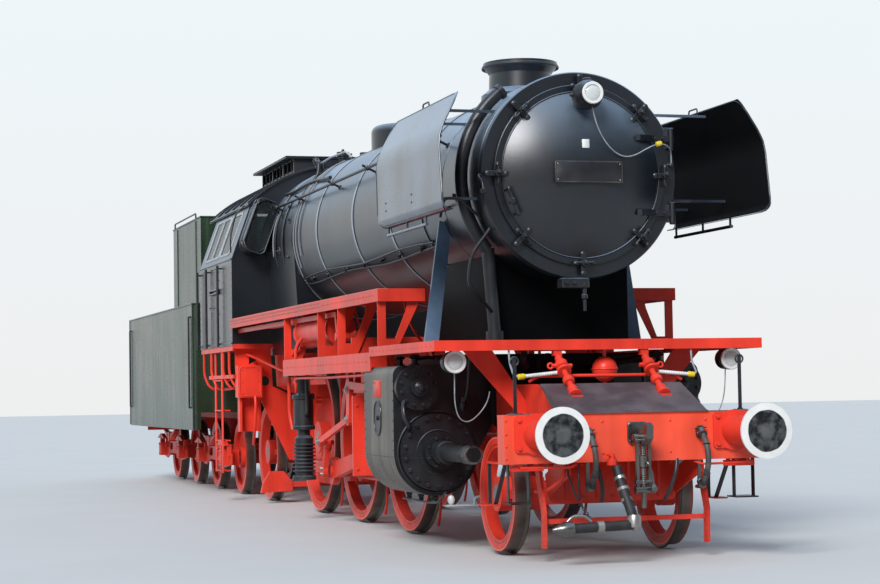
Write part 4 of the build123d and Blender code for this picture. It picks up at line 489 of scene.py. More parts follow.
# Free hoses and cables: route points, what it rides on, radius, length, and how it ends
hoseRoute = [(0.080, 1.010), (0.158, 0.932), (0.189, 0.816), (0.158, 0.700), (0.080, 0.622)]
lampRoute = [
    (9.020, 1.262, 1.588), (9.020, 1.262, 1.500), (8.990, 1.256, 1.330), (8.960, 1.215, 1.195),
    (8.930, 1.120, 1.150), (8.900, 1.000, 1.230), (8.860, 0.905, 1.350), (8.822, 0.885, 1.420)]
cordRows = [(name, "engine", "hoseRubber", 0.024, 0.4537, "object", "medium",
             [(engine["beam"] + x, y, engine["rail"] + z) for x, z in hoseRoute])
            for name, y in (("brakeHoseRight", -0.43), ("brakeHoseLeft", 0.56))]
cordRows += [
    ("doorLampCable", "door", "cableGrey", 0.0055, 1.31, "object", "medium", [
        (9.085, 0.020, 3.926), (9.085, 0.030, 3.850), (9.060, 0.090, 3.690), (9.030, 0.200, 3.545),
        (9.000, 0.330, 3.472), (8.965, 0.460, 3.490), (8.930, 0.590, 3.560), (8.915, 0.690, 3.603),
        (8.905, 0.780, 3.608), (8.868, 0.848, 3.570), (8.8235, 0.870, 3.525), (8.8235, 0.870, 3.465),
        (8.8235, 0.870, 3.425)]),
    ("lampCableRight", "engine", "cableGrey", 0.0055, 0.88, "object", "medium", flip(-1, lampRoute)),
    ("lampCableLeft", "engine", "cableGrey", 0.0055, 0.88, "object", "medium", lampRoute),
    ("heatingHose", "engine", "blackRubber", 0.041, 0.50, "object", "stiff", [
        (10.066, -0.200, 0.790), (10.100, -0.196, 0.700), (10.160, -0.180, 0.590), (10.215, -0.160, 0.480),
        (10.240, -0.140, 0.400), (10.245, -0.130, 0.330)]),
]


# A cord as a round NURBS curve on its route
def makeCord(row):
    name, body, finish, radius, length, end, stiff, route = row
    data = bpy.data.curves.new(name, "CURVE")
    data.dimensions = "3D"
    spline = data.splines.new("NURBS")
    spline.points.add(len(route) - 1)
    for point, place in zip(spline.points, route):
        point.co = (*place, 1)
    spline.order_u = 3
    spline.use_endpoint_u = True
    spline.resolution_u = 10
    data.bevel_depth = radius
    data.bevel_resolution = 3
    data.use_fill_caps = True
    data.materials.append(finishes[finish])
    piece = bpy.data.objects.new(name, data)
    bpy.context.scene.collection.objects.link(piece)
    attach(piece, body)
    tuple(route[0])
    2 * radius
    if name.startswith("brakeHose"):
        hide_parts("brake_hoses")


for row in cordRows:
    makeCord(row)
print("cords:", len(cordRows))


# Points and faces gathered into one piece
class Shape:
    def __init__(self):
        self.points = []
        self.faces = []
        self.count = 0

    def put(self, points, faces):
        self.points.append(points)
        self.faces += [group + self.count for group in faces]
        self.count += len(points)
        return self

    def make(self, name, finish, body="engine", smooth=38):
        data = bpy.data.meshes.new(name)
        rows = [row for group in self.faces for row in group.tolist()]
        data.from_pydata(np.concatenate(self.points).tolist(), [], rows)
        work = bmesh.new()
        work.from_mesh(data)
        bmesh.ops.recalc_face_normals(work, faces=work.faces)
        work.to_mesh(data)
        work.free()
        data.polygons.foreach_set("use_smooth", [True] * len(data.polygons))
        data.set_sharp_from_angle(angle=math.radians(smooth))
        data.materials.append(finishes[finish])
        piece = bpy.data.objects.new(name, data)
        bpy.context.scene.collection.objects.link(piece)
        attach(piece, body)


# Quads of a grid of rows by columns, closed across its columns, its two ends capped
def tubeFaces(rows, columns):
    r = np.arange(rows - 1)[:, None] * columns
    c = np.arange(columns)[None, :]
    n = (c + 1) % columns
    quads = np.stack([r + c, r + n, r + n + columns, r + c + columns], -1).reshape(-1, 4)
    return [quads, np.stack([np.arange(columns)[::-1], (rows - 1) * columns + np.arange(columns)])]


# Quads of a grid closed both ways, as on a hoop
def loopFaces(rows, columns):
    r, c = np.arange(rows)[:, None], np.arange(columns)[None, :]
    s, n = (r + 1) % rows, (c + 1) % columns
    corners = [r * columns + c, r * columns + n, s * columns + n, s * columns + c]
    return [np.stack(corners, -1).reshape(-1, 4)]


# Profile of (along, radius) turned about an axis through a point: at + along * axis + radius * ring
def turned(profile, at, axis, sides=32, closed=False):
    p = np.array(profile, float)
    axis = np.array(axis, float) / np.linalg.norm(axis)
    side = np.cross(axis, [0, 0, 1.0] if abs(axis[2]) < 0.9 else [1.0, 0, 0])
    side /= np.linalg.norm(side)
    t = np.linspace(0, 2 * np.pi, sides, endpoint=False)
    ring = np.cos(t)[:, None] * side + np.sin(t)[:, None] * np.cross(axis, side)
    points = (np.array(at) + p[:, :1, None] * axis + p[:, 1:, None] * ring[None]).reshape(-1, 3)
    return points, (loopFaces if closed else tubeFaces)(len(p), sides)


# Ring of round section: the turned profile is a small circle of its own
def hoop(at, axis, radius, thick, sides=48):
    t = np.linspace(0, 2 * np.pi, 8, endpoint=False)
    return turned(np.stack([thick * np.cos(t), radius + thick * np.sin(t)], -1), at, axis, sides, True)


# Path through its corners, each rounded by a quadratic curve (1-t)2 a + 2t(1-t) corner + t2 b
def rounded(corners, reach, per=6):
    c = np.array(corners, float)
    if len(c) < 3:
        return c
    into, out = c[:-2] - c[1:-1], c[2:] - c[1:-1]
    li, lo = np.linalg.norm(into, axis=1), np.linalg.norm(out, axis=1)
    cut = np.minimum(reach, 0.45 * np.minimum(li, lo))
    a = c[1:-1] + into / li[:, None] * cut[:, None]
    b = c[1:-1] + out / lo[:, None] * cut[:, None]
    t = np.linspace(0, 1, per)[None, :, None]
    bends = (1 - t) ** 2 * a[:, None] + 2 * t * (1 - t) * c[1:-1][:, None] + t ** 2 * b[:, None]
    return np.vstack([c[:1], bends.reshape(-1, 3), c[-1:]])


# Section carried along a path, upright to `up`, else to the path's own flattest direction
def swept(path, section, closed=False, up=None):
    p, s = np.array(path, float), np.array(section, float)
    tangent = np.roll(p, -1, 0) - np.roll(p, 1, 0) if closed else np.gradient(p, axis=0)
    tangent /= np.linalg.norm(tangent, axis=1)[:, None]
    flat = np.array(up, float) if up is not None else np.linalg.svd(p - p.mean(0) + 1e-9)[2][-1]
    side = np.cross(tangent, flat)
    side /= np.linalg.norm(side, axis=1)[:, None]
    points = p[:, None] + s[None, :, :1] * side[:, None] + s[None, :, 1:] * np.cross(side, tangent)[:,
        None]
    return points.reshape(-1, 3), (loopFaces if closed else tubeFaces)(len(p), len(s))


# Points (radius cos t, radius sin t), evenly round a circle
def circle(radius, sides=10):
    t = np.linspace(0, 2 * np.pi, sides, endpoint=False)
    return np.stack([radius * np.cos(t), radius * np.sin(t)], -1)


# Round section swept along a path whose corners are rounded
def pipe(corners, radius, reach=0.05, sides=10):
    return swept(rounded(corners, reach), circle(radius, sides))


# Rectangle with its corners cut, as (a, b) pairs
def rect(a0, a1, b0, b1, cut=0.003):
    return [(a0 + cut, b0), (a1 - cut, b0), (a1, b0 + cut), (a1, b1 - cut), (a1 - cut, b1),
        (a0 + cut, b1), (a0, b1 - cut), (a0, b0 + cut)]


# Rectangle with round corners: four quarter circles about the corners' centres
def roundRect(a0, a1, b0, b1, radius, per=6):
    t = np.linspace(0, np.pi / 2, per)[None, :] + np.array([0, 1, 2, 3])[:, None] * np.pi / 2
    ca = np.array([a1 - radius, a0 + radius, a0 + radius, a1 - radius])[:, None]
    cb = np.array([b1 - radius, b1 - radius, b0 + radius, b0 + radius])[:, None]
    return np.stack([ca + radius * np.cos(t), cb + radius * np.sin(t)], -1).reshape(-1, 2)


# Outline carried straight along an axis, drawn in by `soft` at both ends
def slab(outline, axis, start, end, soft=0.004):
    o = np.array(outline, float)
    middle, half = (o.max(0) + o.min(0)) / 2, (o.max(0) - o.min(0)) / 2
    small = middle + (o - middle) * (1 - soft / half)
    rows = [(small, start), (o, start + soft), (o, end - soft), (small, end)]
    order = {"x": (2, 0, 1), "y": (0, 2, 1), "z": (0, 1, 2)}[axis]
    grid = np.stack([np.column_stack([ring, np.full(len(ring), at)]) for ring, at in rows])
    return grid[..., order].reshape(-1, 3), tubeFaces(4, len(o))


# Box from its low corner to its high corner, drawn in by `soft` at its edges
def block(low, high, soft=0.004):
    return slab(rect(low[0], high[0], low[1], high[1], soft), "z", low[2], high[2], soft)


# Straight bar from a to b, its section a rectangle with cut corners, upright to `up`
def bar(a, b, width, height, up=zAxis):
    w, h = width / 2, height / 2
    return swept([a, b], rect(-w, w, -h, h, min(w, h) * 0.3), up=up)


# Small turned heads, all alike, standing on given points along given normals
def heads(points, normals, radius, height, sides=6, domed=False):
    p = np.array(points, float).reshape(-1, 3)
    n = np.broadcast_to(np.array(normals, float), p.shape)
    n = n / np.linalg.norm(n, axis=1)[:, None]
    side = np.cross(n, np.where(np.abs(n[:, 2:]) < 0.9, [[0, 0, 1.0]], [[1.0, 0, 0]]))
    side /= np.linalg.norm(side, axis=1)[:, None]
    t = np.linspace(0, 2 * np.pi, sides, endpoint=False)
    ring = np.cos(t)[:, None, None] * side[None] + np.sin(t)[:, None, None] * np.cross(n, side)[None]
    rows = [(-0.3, 1.0), (0.45, 0.95), (1.0, 0.45)] if domed else [(-0.3, 1.0), (0.85, 1.0), (1.0, 0.85)]
    grid = np.stack([p[None] + n[None] * height * a + ring * radius * q for a, q in rows])
    offsets = np.arange(len(p)) * 3 * sides
    quads, caps = tubeFaces(3, sides)
    faces = [(quads[None] + offsets[:, None, None]).reshape(-1, 4),
        (caps[None] + offsets[:, None, None]).reshape(-1, sides)]
    return grid.transpose(2, 0, 1, 3).reshape(-1, 3), faces


# Points evenly round a circle about x, y or z, from a starting angle in degrees
# Each shape function is a method too, which puts what it makes into the piece
for form in (turned, hoop, swept, pipe, slab, block, bar, heads):
    setattr(Shape, form.__name__, lambda self, *given, form=form,
        **named: self.put(*form(*given, **named)))


def ringPoints(at, axis, radius, count, start=0.0):
    t = np.radians(start + np.arange(count) * 360.0 / count)
    zero = np.zeros(count)
    plane = {"x": (zero, np.cos(t), np.sin(t)), "y": (np.cos(t), zero, np.sin(t)),
        "z": (np.cos(t), np.sin(t), zero)}[axis]
    return np.array(at) + radius * np.stack(plane, -1)


# Point on the boiler's skin: x along it, degrees from its top, side, and height above the skin
def onBoiler(x, turn, side=-1, out=0.0):
    radius = np.interp(x, [-0.6, 1.45, 1.4525, 6.79, 6.80], [1.006, 1.006, 1.0, 0.932, 0.925]) + out
    t = math.radians(turn)
    return (x, side * float(radius) * math.sin(t), engine["boiler"] + float(radius) * math.cos(t))


# Floor and light: pale floor, sky bright overhead and to the engine's right, dimmer ahead, one soft sun
stage = {"size": 260.0, "floor": (0.54, 0.54, 0.53), "sky": 0.48, "seen": 0.44, "sun": 3.7, "spread": 24,
         "from": (0.74, -0.50, 0.62), "ahead": (-0.25, 0.75, 0.30), "high": (0.34, 0.80),
         "stops": [(0.0, (0.80, 0.80, 0.79)), (0.45, (0.90, 0.91, 0.91)), (0.494, (0.93, 0.94, 0.94)),
                   (0.60, (0.93, 1.0, 1.04)), (0.72, (0.82, 1.02, 1.24)), (1.0, (0.90, 1.20, 1.62))]}


def makeStage(s):
    half = s["size"] / 2
    data = bpy.data.meshes.new("floor")
    data.from_pydata([(-half, -half, -0.003), (half, -half, -0.003), (half, half, -0.003),
        (-half, half, -0.003)], [], [(0, 1, 2, 3)])
    g = Graph("floorPale")
    grain = g.noise(0.6, 3.0)
    tone = g.mix(g.step(grain, 0.3, 0.7), s["floor"], tuple(c * 0.97 for c in s["floor"]))
    data.materials.append(g.finish(tone, 0.85))
    floor = bpy.data.objects.new("floor", data)
    bpy.context.scene.collection.objects.link(floor)
    sun = bpy.data.lights.new("sun", "SUN")
    sun.energy = s["sun"]
    sun.angle = math.radians(s["spread"])
    lamp = bpy.data.objects.new("sun", sun)
    towards = np.array(s["from"], float) / np.linalg.norm(s["from"])
    side = np.cross([0, 0, 1.0], towards)
    side /= np.linalg.norm(side)
    placed = np.eye(4)
    placed[:3, :3] = np.array([side, np.cross(towards, side), towards]).T
    lamp.matrix_world = Matrix(placed.tolist())
    bpy.context.scene.collection.objects.link(lamp)
    world = bpy.data.worlds.new("softSky")
    world.use_nodes = True
    tree = world.node_tree
    tree.nodes.clear()
    make, link = tree.nodes.new, tree.links.new
    where, split = make("ShaderNodeTexCoord"), make("ShaderNodeSeparateXYZ")
    link(where.outputs["Generated"], split.inputs[0])
    lift = make("ShaderNodeMapRange")
    lift.inputs["From Min"].default_value = -1.0
    link(split.outputs["Z"], lift.inputs["Value"])
    ramp = make("ShaderNodeValToRGB")
    for k, (at, colour) in enumerate(s["stops"]):
        stop = ramp.color_ramp.elements[k] if k < 2 else ramp.color_ramp.elements.new(at)
        stop.position = at
        stop.color = (*colour, 1)
    link(lift.outputs[0], ramp.inputs["Fac"])
    dim = make("ShaderNodeMapRange")
    dim.interpolation_type = "SMOOTHSTEP"
    near, far, share = s["ahead"]
    for key, value in {"From Min": near, "From Max": far, "To Min": 1.0, "To Max": share}.items():
        dim.inputs[key].default_value = value
    link(split.outputs["X"], dim.inputs["Value"])
    high = make("ShaderNodeMapRange")
    high.interpolation_type = "SMOOTHSTEP"
    for key, value in zip(("From Min", "From Max"), s["high"]):
        high.inputs[key].default_value = value
    link(split.outputs["Z"], high.inputs["Value"])
    rays = make("ShaderNodeLightPath")

    def join(operation, first, second):
        node = make("ShaderNodeMath")
        node.operation = operation
        for k, value in enumerate((first, second)):
            if isinstance(value, float):
                node.inputs[k].default_value = value
            else:
                link(value, node.inputs[k])
        return node.outputs[0]

    seen = join("MAXIMUM", rays.outputs["Is Camera Ray"], rays.outputs["Is Glossy Ray"])
    seen = join("MAXIMUM", seen, rays.outputs["Is Transmission Ray"])
    shown = join("ADD", join("MULTIPLY", seen, s["seen"]), s["sky"])
    level = join("MULTIPLY", join("MAXIMUM", dim.outputs[0], high.outputs[0]), shown)
    sky, out = make("ShaderNodeBackground"), make("ShaderNodeOutputWorld")
    link(level, sky.inputs["Strength"])
    link(ramp.outputs["Color"], sky.inputs["Color"])
    link(sky.outputs[0], out.inputs["Surface"])
    bpy.context.scene.world = world


makeStage(stage)
print("stage set")

# Lamps: white rims round domed lenses, a ring at the drum's back, a cap on top
lampSet = {"radius": 0.092, "glass": 0.80}
lampRows = [("engine", (9.1025, -1.28, 1.678), 1), ("engine", (9.1025, 1.28, 1.678), 1),
            ("door", (9.1585, 0.0, 4.013), 1), ("tender", (-10.1625, -0.70, 1.578), -1),
            ("tender", (-10.1625, 0.70, 1.578), -1)]


def makeLamps(s):
    r = s["radius"]
    for k, (body, at, way) in enumerate(lampRows):
        rim = [(-0.014, 0.99), (-0.002, 1.06), (0.012, 1.07), (0.020, 1.00), (0.018, s["glass"]),
            (0.004, 0.76), (0.003, 0.08)]
        Shape().turned([(a, q * r) for a, q in rim], at, (way, 0, 0)).make(f"lampRim{k}", "rimWhite",
            body)
        lens = [(0.002, s["glass"]), (0.010, 0.72), (0.017, 0.4), (0.019, 0.05)]
        Shape().turned([(a, q * r) for a, q in lens], at, (way, 0, 0)).make(f"lampLens{k}", "lampGlass",
            body)
        x, y, z = at
        trim = Shape()
        trim.hoop((x - way * 0.045, y, z), (way, 0, 0), r, 0.006, 32)
        trim.turned([(-0.006, 0.03), (0.012, 0.03), (0.02, 0.022), (0.024, 0.008)],
            (x - way * 0.06, y, z + r), zAxis, 16)
        trim.heads([(x - way * 0.03, y + r * 0.99, z), (x - way * 0.03, y - r * 0.99, z)],
            [yAxis, (0, -1, 0)], 0.012, 0.014)
        trim.make(f"lampTrim{k}", "fittingBlack", body)


makeLamps(lampSet)
print("lamps done")

# Door: bolts and pin caps of the hinges, clamp nuts, lamp drum, blank plate and tag, beads, handles
doorSet = {"dogs": 8, "dogRadius": 0.79, "plate": (-0.32, 0.32, 3.233, 3.433), "plateFace": 9.0385}


def makeDoor(s):
    zb, dish = engine["boiler"], engine["dish"]
    trim = Shape()
    for up in (-0.335, 0.335):
        z = zb + up
        trim.heads([(dish + 0.022, y, z) for y in (0.70, 0.78)], xAxis, 0.013, 0.02, 6)
        trim.turned([(-0.10, 0.022), (-0.095, 0.028), (0.095, 0.028), (0.10, 0.022)], (8.8235, 0.870, z),
            zAxis, 16)
    trim.make("hingeTrim", "fittingBlack", "door")
    nuts = Shape()
    spots = ringPoints((dish + 0.050, 0, zb), "x", s["dogRadius"], s["dogs"], 0.0)
    nuts.heads(spots, xAxis, 0.033, 0.030, 6)
    nuts.heads(spots + [0.030, 0, 0], xAxis, 0.017, 0.026, 10, True)
    t = np.radians(np.arange(s["dogs"]) * 360 / s["dogs"])
    outward = np.stack([0 * t, np.cos(t), np.sin(t)], -1)
    across = np.stack([0 * t, -np.sin(t), np.cos(t)], -1)
    ends = np.concatenate([spots + across * 0.078, spots - across * 0.078])
    nuts.heads(ends - [0.008, 0, 0], np.concatenate([across, -across]), 0.021, 0.024, 12, True)
    for spot, out in zip(spots, outward):
        foot = spot - [0.030, 0, 0]
        short = spot[1] > 0.7
        nuts.bar(foot - out * 0.078, foot + out * (0.040 if short else 0.078), 0.046, 0.022, xAxis)
        tips = [foot - out * 0.086] if short else [foot + out * 0.086, foot - out * 0.086]
        nuts.heads(tips, xAxis, 0.027, 0.018, 14, True)
    nuts.make("clampNuts", "fittingBlack", "door")
    y0, y1, z0, z1 = s["plate"]
    x = s["plateFace"]
    hood = [(-0.205, 0.060), (-0.203, 0.112), (-0.195, 0.126), (-0.092, 0.131), (-0.082, 0.127),
        (-0.050, 0.104), (-0.030, 0.0955), (-0.028, 0.060)]
    drum = Shape().turned(hood, lampRows[2][1], xAxis, 48)
    drum.block((8.965, -0.030, 4.135), (9.060, 0.030, 4.165), 0.008)
    drum.heads([(9.01, 0.124, 4.013), (9.01, -0.124, 4.013)], [yAxis, (0, -1, 0)], 0.018, 0.030, 12)
    drum.make("lampHood", "fittingBlack", "door")
    edge = roundRect(y0 + 0.011, y1 - 0.011, z0 + 0.011, z1 - 0.011, 0.014)
    path = np.column_stack([np.full(len(edge), x + 0.001), edge])
    Shape().swept(path, rect(-0.004, 0.004, -0.002, 0.002, 0.0008), True, xAxis).make("plateBorder",
        "casingGrey", "door")
    corners = [(x - 0.001, y, z) for y in (y0 + 0.03, y1 - 0.03) for z in (z0 + 0.03, z1 - 0.03)]
    Shape().heads(corners, xAxis, 0.007, 0.005, 8, True).make("plateScrews", "bareSteel", "door")
    face = Shape().slab(rect(y0 + 0.002, y1 - 0.002, z0 + 0.002, z1 - 0.002, 0.012), "x", x - 0.006,
        x + 0.0015, 0.001)
    face.make("plateFace", "fittingBlack", "door")
    Shape().slab(rect(-0.047, 0.018, 3.548, 3.624, 0.003), "x", 8.985, 9.009, 0.001).make("blankTag",
        "rimWhite", "door")
    rim = Shape().hoop((8.8345, 0, zb), xAxis, 0.742, 0.006, 96)
    rim.hoop((8.8165, 0, zb), xAxis, 0.801, 0.005, 96)
    rim.make("doorBeads", "boilerBlack", "door")
    grip = Shape().heads([(8.9485, -0.63, 2.973), (8.9335, -0.71, 3.183)],
        [(0.2, 0.25, -1.0), (0.2, -0.25, 1.0)], 0.024, 0.024, 12, True)
    grip.heads([(8.935, -0.685, 3.075)], xAxis, 0.03, 0.04, 6)
    grip.make("handleEnds", "fittingBlack", "door")
    hand = Shape()
    hand.pipe([(8.78, -0.93, 3.32), (8.83, -0.955, 3.30), (8.90, -0.945, 3.25), (8.92, -0.94, 3.18)],
        0.012, 0.03)
    hand.turned([(-0.02, 0.02), (-0.012, 0.028), (0.012, 0.028), (0.02, 0.02)], (8.925, -0.94, 3.165),
        xAxis, 16)
    hand.make("ringLever", "fittingBlack", "engine")
    plug = Shape().turned([(-0.030, 0.012), (-0.026, 0.022), (0.020, 0.022), (0.030, 0.013)],
        (8.917, 0.715, 3.608), (0.05, 0.95, 0.25), 16)
    plug.hoop((8.917, 0.715, 3.608), (0.05, 0.95, 0.25), 0.022, 0.004, 16)
    plug.make("cablePlug", "plugYellow", "door")
    gland = Shape().turned([(0.0, 0.032), (0.006, 0.034), (0.010, 0.022), (0.045, 0.021), (0.052, 0.012)],
        (8.791, 0.870, 3.425), xAxis, 20)
    gland.make("cableGland", "fittingBlack", "engine")
    foot = Shape().block((8.70, -0.20, 2.318), (8.845, 0.055, 2.412), 0.008)
    foot.turned([(-0.012, 0.034), (0.012, 0.034), (0.016, 0.02), (0.09, 0.018), (0.1, 0.03), (0.13, 0.03),
        (0.14, 0.016), (0.24, 0.014), (0.245, 0.006)], (8.815, 0.016, 2.36), (0, 0, -1), 16)
    foot.heads([(8.845, -0.16, 2.365), (8.845, -0.09, 2.365)], xAxis, 0.018, 0.02)
    foot.make("ringFoot", "fittingBlack", "engine")


makeDoor(doorSet)
print("door done")

# Evenly spaced points along a path, by its length
def along(points, count):
    p = np.array(points, float)
    d = np.concatenate([[0], np.cumsum(np.linalg.norm(np.diff(p, axis=0), axis=1))])
    at = np.linspace(0, d[-1], count)
    return np.stack([np.interp(at, d, p[:, k]) for k in range(p.shape[1])], -1)


# Deflectors: rolled edge beads, bolts at the stays, a wire handle on top, a round fitting inside
deflectorSet = {"bead": 0.009, "topHalf": 1.29,
                "high": (2.95, 2.97, 3.03, 3.48, 3.585, 3.683, 3.963),
                "half": (1.435, 1.475, 1.496, 1.496, 1.483, 1.444, 1.290)}


def makeDeflectors(s):
    corners = [(8.4, 0, 2.957), (9.548, 0, 2.957), (9.374, 0, 3.957), (7.362, 0, 3.957),
        (7.424, 0, 2.957), (8.4, 0, 2.957)]
    line = along(rounded(corners, 0.12), 160)[:-1]
    for k, side in enumerate(sides):
        y = side * np.interp(line[:, 2], s["high"], s["half"])
        path = np.column_stack([line[:, 0], y, line[:, 2]])
        Shape().swept(path, circle(s["bead"], 8), True, yAxis).make(f"deflectorBead{k}", "boilerBlack")
        fit = Shape()
        top = side * s["topHalf"]
        fit.heads([(x, side * 1.5, z) for x in (7.7225, 8.5925) for z in (3.09, 3.16)], (0, side, 0),
            0.010, 0.006, 10, True)
        fit.pipe([(8.28, top, 3.94), (8.28, top, 4.00), (8.47, top, 4.00), (8.47, top, 3.94)], 0.008,
            0.03, 8)
        fit.turned([(-0.012, 0.05), (0.0, 0.056), (0.014, 0.05), (0.018, 0.02), (0.05, 0.018)],
            (8.29, side * 0.985, 3.18), (0, side, 0.1), 20)
        fit.make(f"deflectorTrim{k}", "fittingBlack")


makeDeflectors(deflectorSet)
print("deflectors done")

# Boiler: pale bands, their pale blue-grey partly a painted sky highlight, long pipes along the flank,
# fittings round the dome and the firebox
boilerSet = {"bands": (5.7025, 4.3025, 2.6525), "railPosts": (7.5125, 6.4925, 4.9925, 3.3925, 1.6525,
                                                              0.3525)}


def makeBoiler(s):
    zb = engine["boiler"]
    bands = Shape()
    for x in s["bands"]:
        r = onBoiler(x, 90, 1)[1] + 0.0065
        bands.turned([(-0.026, r - 0.004), (-0.024, r + 0.0035), (0.024, r + 0.0035), (0.026, r - 0.004)],
            (x, 0, zb), xAxis, 96, True)
    for x, r in ((6.7925, 0.938), (1.4525, 1.010), (0.25, 1.010)):
        bands.turned([(-0.02, r - 0.006), (-0.018, r), (0.018, r), (0.02, r - 0.006)], (x, 0, zb), xAxis,
            96, True)
    bands.make("boilerBands", "bandGreyAndHighlight")
    seams = Shape()
    for x in (8.735, 7.60):
        seams.turned([(-0.008, 0.922), (-0.004, 0.9285), (0.004, 0.9285), (0.008, 0.922)], (x, 0, zb),
            xAxis, 96, True)
    seams.make("smokeboxSeams", "boilerBlack")
    for k, side in enumerate(sides):
        runs = Shape()
        for turn, lift in ((119.0, 0.020), (123.5, 0.020)):
            spots = [onBoiler(x, turn + 1.3 * math.sin(x * 1.9 + turn), side, lift)
                for x in (1.5, 2.2, 2.9, 3.6, 4.3, 5.0, 5.7, 6.4, 6.95)]
            runs.pipe(spots, 0.011, 0.22, 8)
        clips = [onBoiler(x, 121.2, side, 0.004) for x in (1.9, 2.65, 3.5, 4.3, 5.0, 5.7, 6.5)]
        out = np.array(clips) - [[c[0], 0, zb] for c in clips]
        runs.heads(clips, out, 0.030, 0.034, 8)
        runs.make(f"flankPipes{k}", "fittingBlack")
        drop = Shape()
        for x, start, end in ((1.50, 20, 118), (1.62, 28, 112), (1.80, 34, 104)):
            drop.pipe([onBoiler(x, t, side, 0.016) for t in np.linspace(start, end, 9)], 0.0095, 0.1, 8)
        drop.make(f"dropPipes{k}", "pipeGrey")
        back = Shape()
        back.pipe([onBoiler(x, 50 + 2 * math.sin(x * 3), side, 0.03)
            for x in (0.2, 0.7, 1.2, 1.7, 2.2, 2.6)], 0.022, 0.2, 10)
        back.pipe([onBoiler(0.9, t, side, 0.02) for t in np.linspace(60, 128, 8)], 0.016, 0.1, 8)
        back.pipe([onBoiler(0.45, t, side, 0.02) for t in np.linspace(52, 134, 8)], 0.013, 0.1, 8)
        wash = [onBoiler(x, turn, side, 0.0) for x, turn in ((-0.02, 66), (0.66, 70), (1.18, 76),
            (0.62, 96), (1.15, 102), (-0.02, 94))]
        out = np.array(wash) - [[c[0], 0, zb] for c in wash]
        back.heads(wash, out, 0.052, 0.016, 16, True)
        back.heads(wash, out, 0.020, 0.034, 6)
        back.make(f"fireboxFittings{k}", "fittingBlack")
        rail = Shape()
        y, z = side * 0.966, 3.799
        for x in s["railPosts"]:
            at = onBoiler(x, math.degrees(math.atan2(0.966, 0.471)), side, 0.0)
            out = np.array((0, y, z)) - np.array((0, at[1], at[2]))
            rail.turned([(-0.01, 0.034), (0.008, 0.030), (0.016, 0.018)], at, (0, at[1], at[2] - zb), 16)
            rail.turned([(-0.028, 0.012), (-0.018, 0.026), (0.0, 0.030), (0.018, 0.026), (0.028, 0.012)],
                (x, y, z), xAxis, 16)
        rail.make(f"railKnobs{k}", "fittingBlack")
        clack = Shape()
        at = onBoiler(1.25, 34, side, 0.0)
        out = (0, at[1], at[2] - zb)
        clack.turned([(-0.01, 0.075), (0.014, 0.075), (0.018, 0.04), (0.07, 0.038), (0.075, 0.06),
            (0.11, 0.062), (0.12, 0.045), (0.18, 0.042), (0.2, 0.028), (0.215, 0.01)], at, out, 20)
        clack.heads(ringPoints((0, 0, 0), "x", 0.06, 6) * [0, 1, 1] + at, out, 0.011, 0.03)
        clack.pipe([(at[0], at[1] * 1.13, at[2] + 0.11), (at[0] + 0.14, at[1] * 1.16, at[2] + 0.13),
            onBoiler(1.42, 40, side, 0.03), onBoiler(1.46, 62, side, 0.024),
            onBoiler(1.46, 90, side, 0.024), onBoiler(1.46, 116, side, 0.024)], 0.02, 0.07)
        clack.make(f"clackValve{k}", "fittingBlack")
    loop = Shape()
    loop.pipe([(0.16, -0.30, 4.32), (0.16, -0.36, 4.385), (0.9, -0.38, 4.395), (1.60, -0.36, 4.385),
        (1.66, -0.30, 4.31)], 0.013, 0.08, 8)
    loop.pipe([(0.20, 0.30, 4.32), (0.20, 0.36, 4.38), (1.45, 0.36, 4.38), (1.50, 0.30, 4.30)], 0.013,
        0.08, 8)
    loop.make("turretPipes", "frameSilver")
    cover = Shape()
    dx = engine["dome"]
    cover.heads(ringPoints((dx, 0, 4.40), "z", 0.30, 18), zAxis, 0.012, 0.10, 6)
    cover.heads(ringPoints((dx + 0.62, 0, zb + 0.985), "z", 0.09, 8), zAxis, 0.012, 0.02, 6)
    cover.turned([(-0.03, 0.12), (0.012, 0.12), (0.02, 0.10), (0.03, 0.03)], (dx + 0.62, 0, zb + 0.965),
        zAxis, 24)
    cover.turned([(0, 0.372), (0.012, 0.376), (0.03, 0.368), (0.034, 0.358)],
        (engine["chimney"], 0, 4.522), zAxis, 48, True)
    for y in (-0.19, 0.19):
        cover.hoop((0.7525, y, 4.40), zAxis, 0.062, 0.008, 24)
        cover.turned([(0, 0.03), (0.01, 0.034), (0.03, 0.018), (0.045, 0.016), (0.05, 0.006)],
            (0.7525, y, 4.468), zAxis, 16)
        cover.bar((0.60, y * 0.8, 4.43), (0.75, y, 4.47), 0.014, 0.01)
    cover.bar((0.30, 0.06, 4.44), (0.10, 0.02, 4.50), 0.012, 0.01)
    cover.make("topFittings", "fittingBlack")
    beside = Shape()
    beside.pipe([(8.66, -0.80, 2.86), (8.68, -0.99, 2.62), (8.67, -1.02, 2.36), (8.60, -0.87, 2.23),
        (8.45, -0.70, 2.10), (8.30, -0.66, 1.95)], 0.015, 0.09, 8)
    beside.pipe([(8.56, -0.86, 2.96), (8.60, -0.97, 3.05), (8.62, -1.06, 3.12), (8.60, -1.20, 3.14),
        (8.60, -1.24, 2.96)], 0.012, 0.08, 8)
    beside.make("saddlePipes", "fittingBlack")


makeBoiler(boilerSet)
print("boiler done")

# Front beam: buffer bolts, posts' collars, air vessel, pipes, lamp irons, step plates and their lamps
beamSet = {"face": 10.0385, "bolt": 0.016}


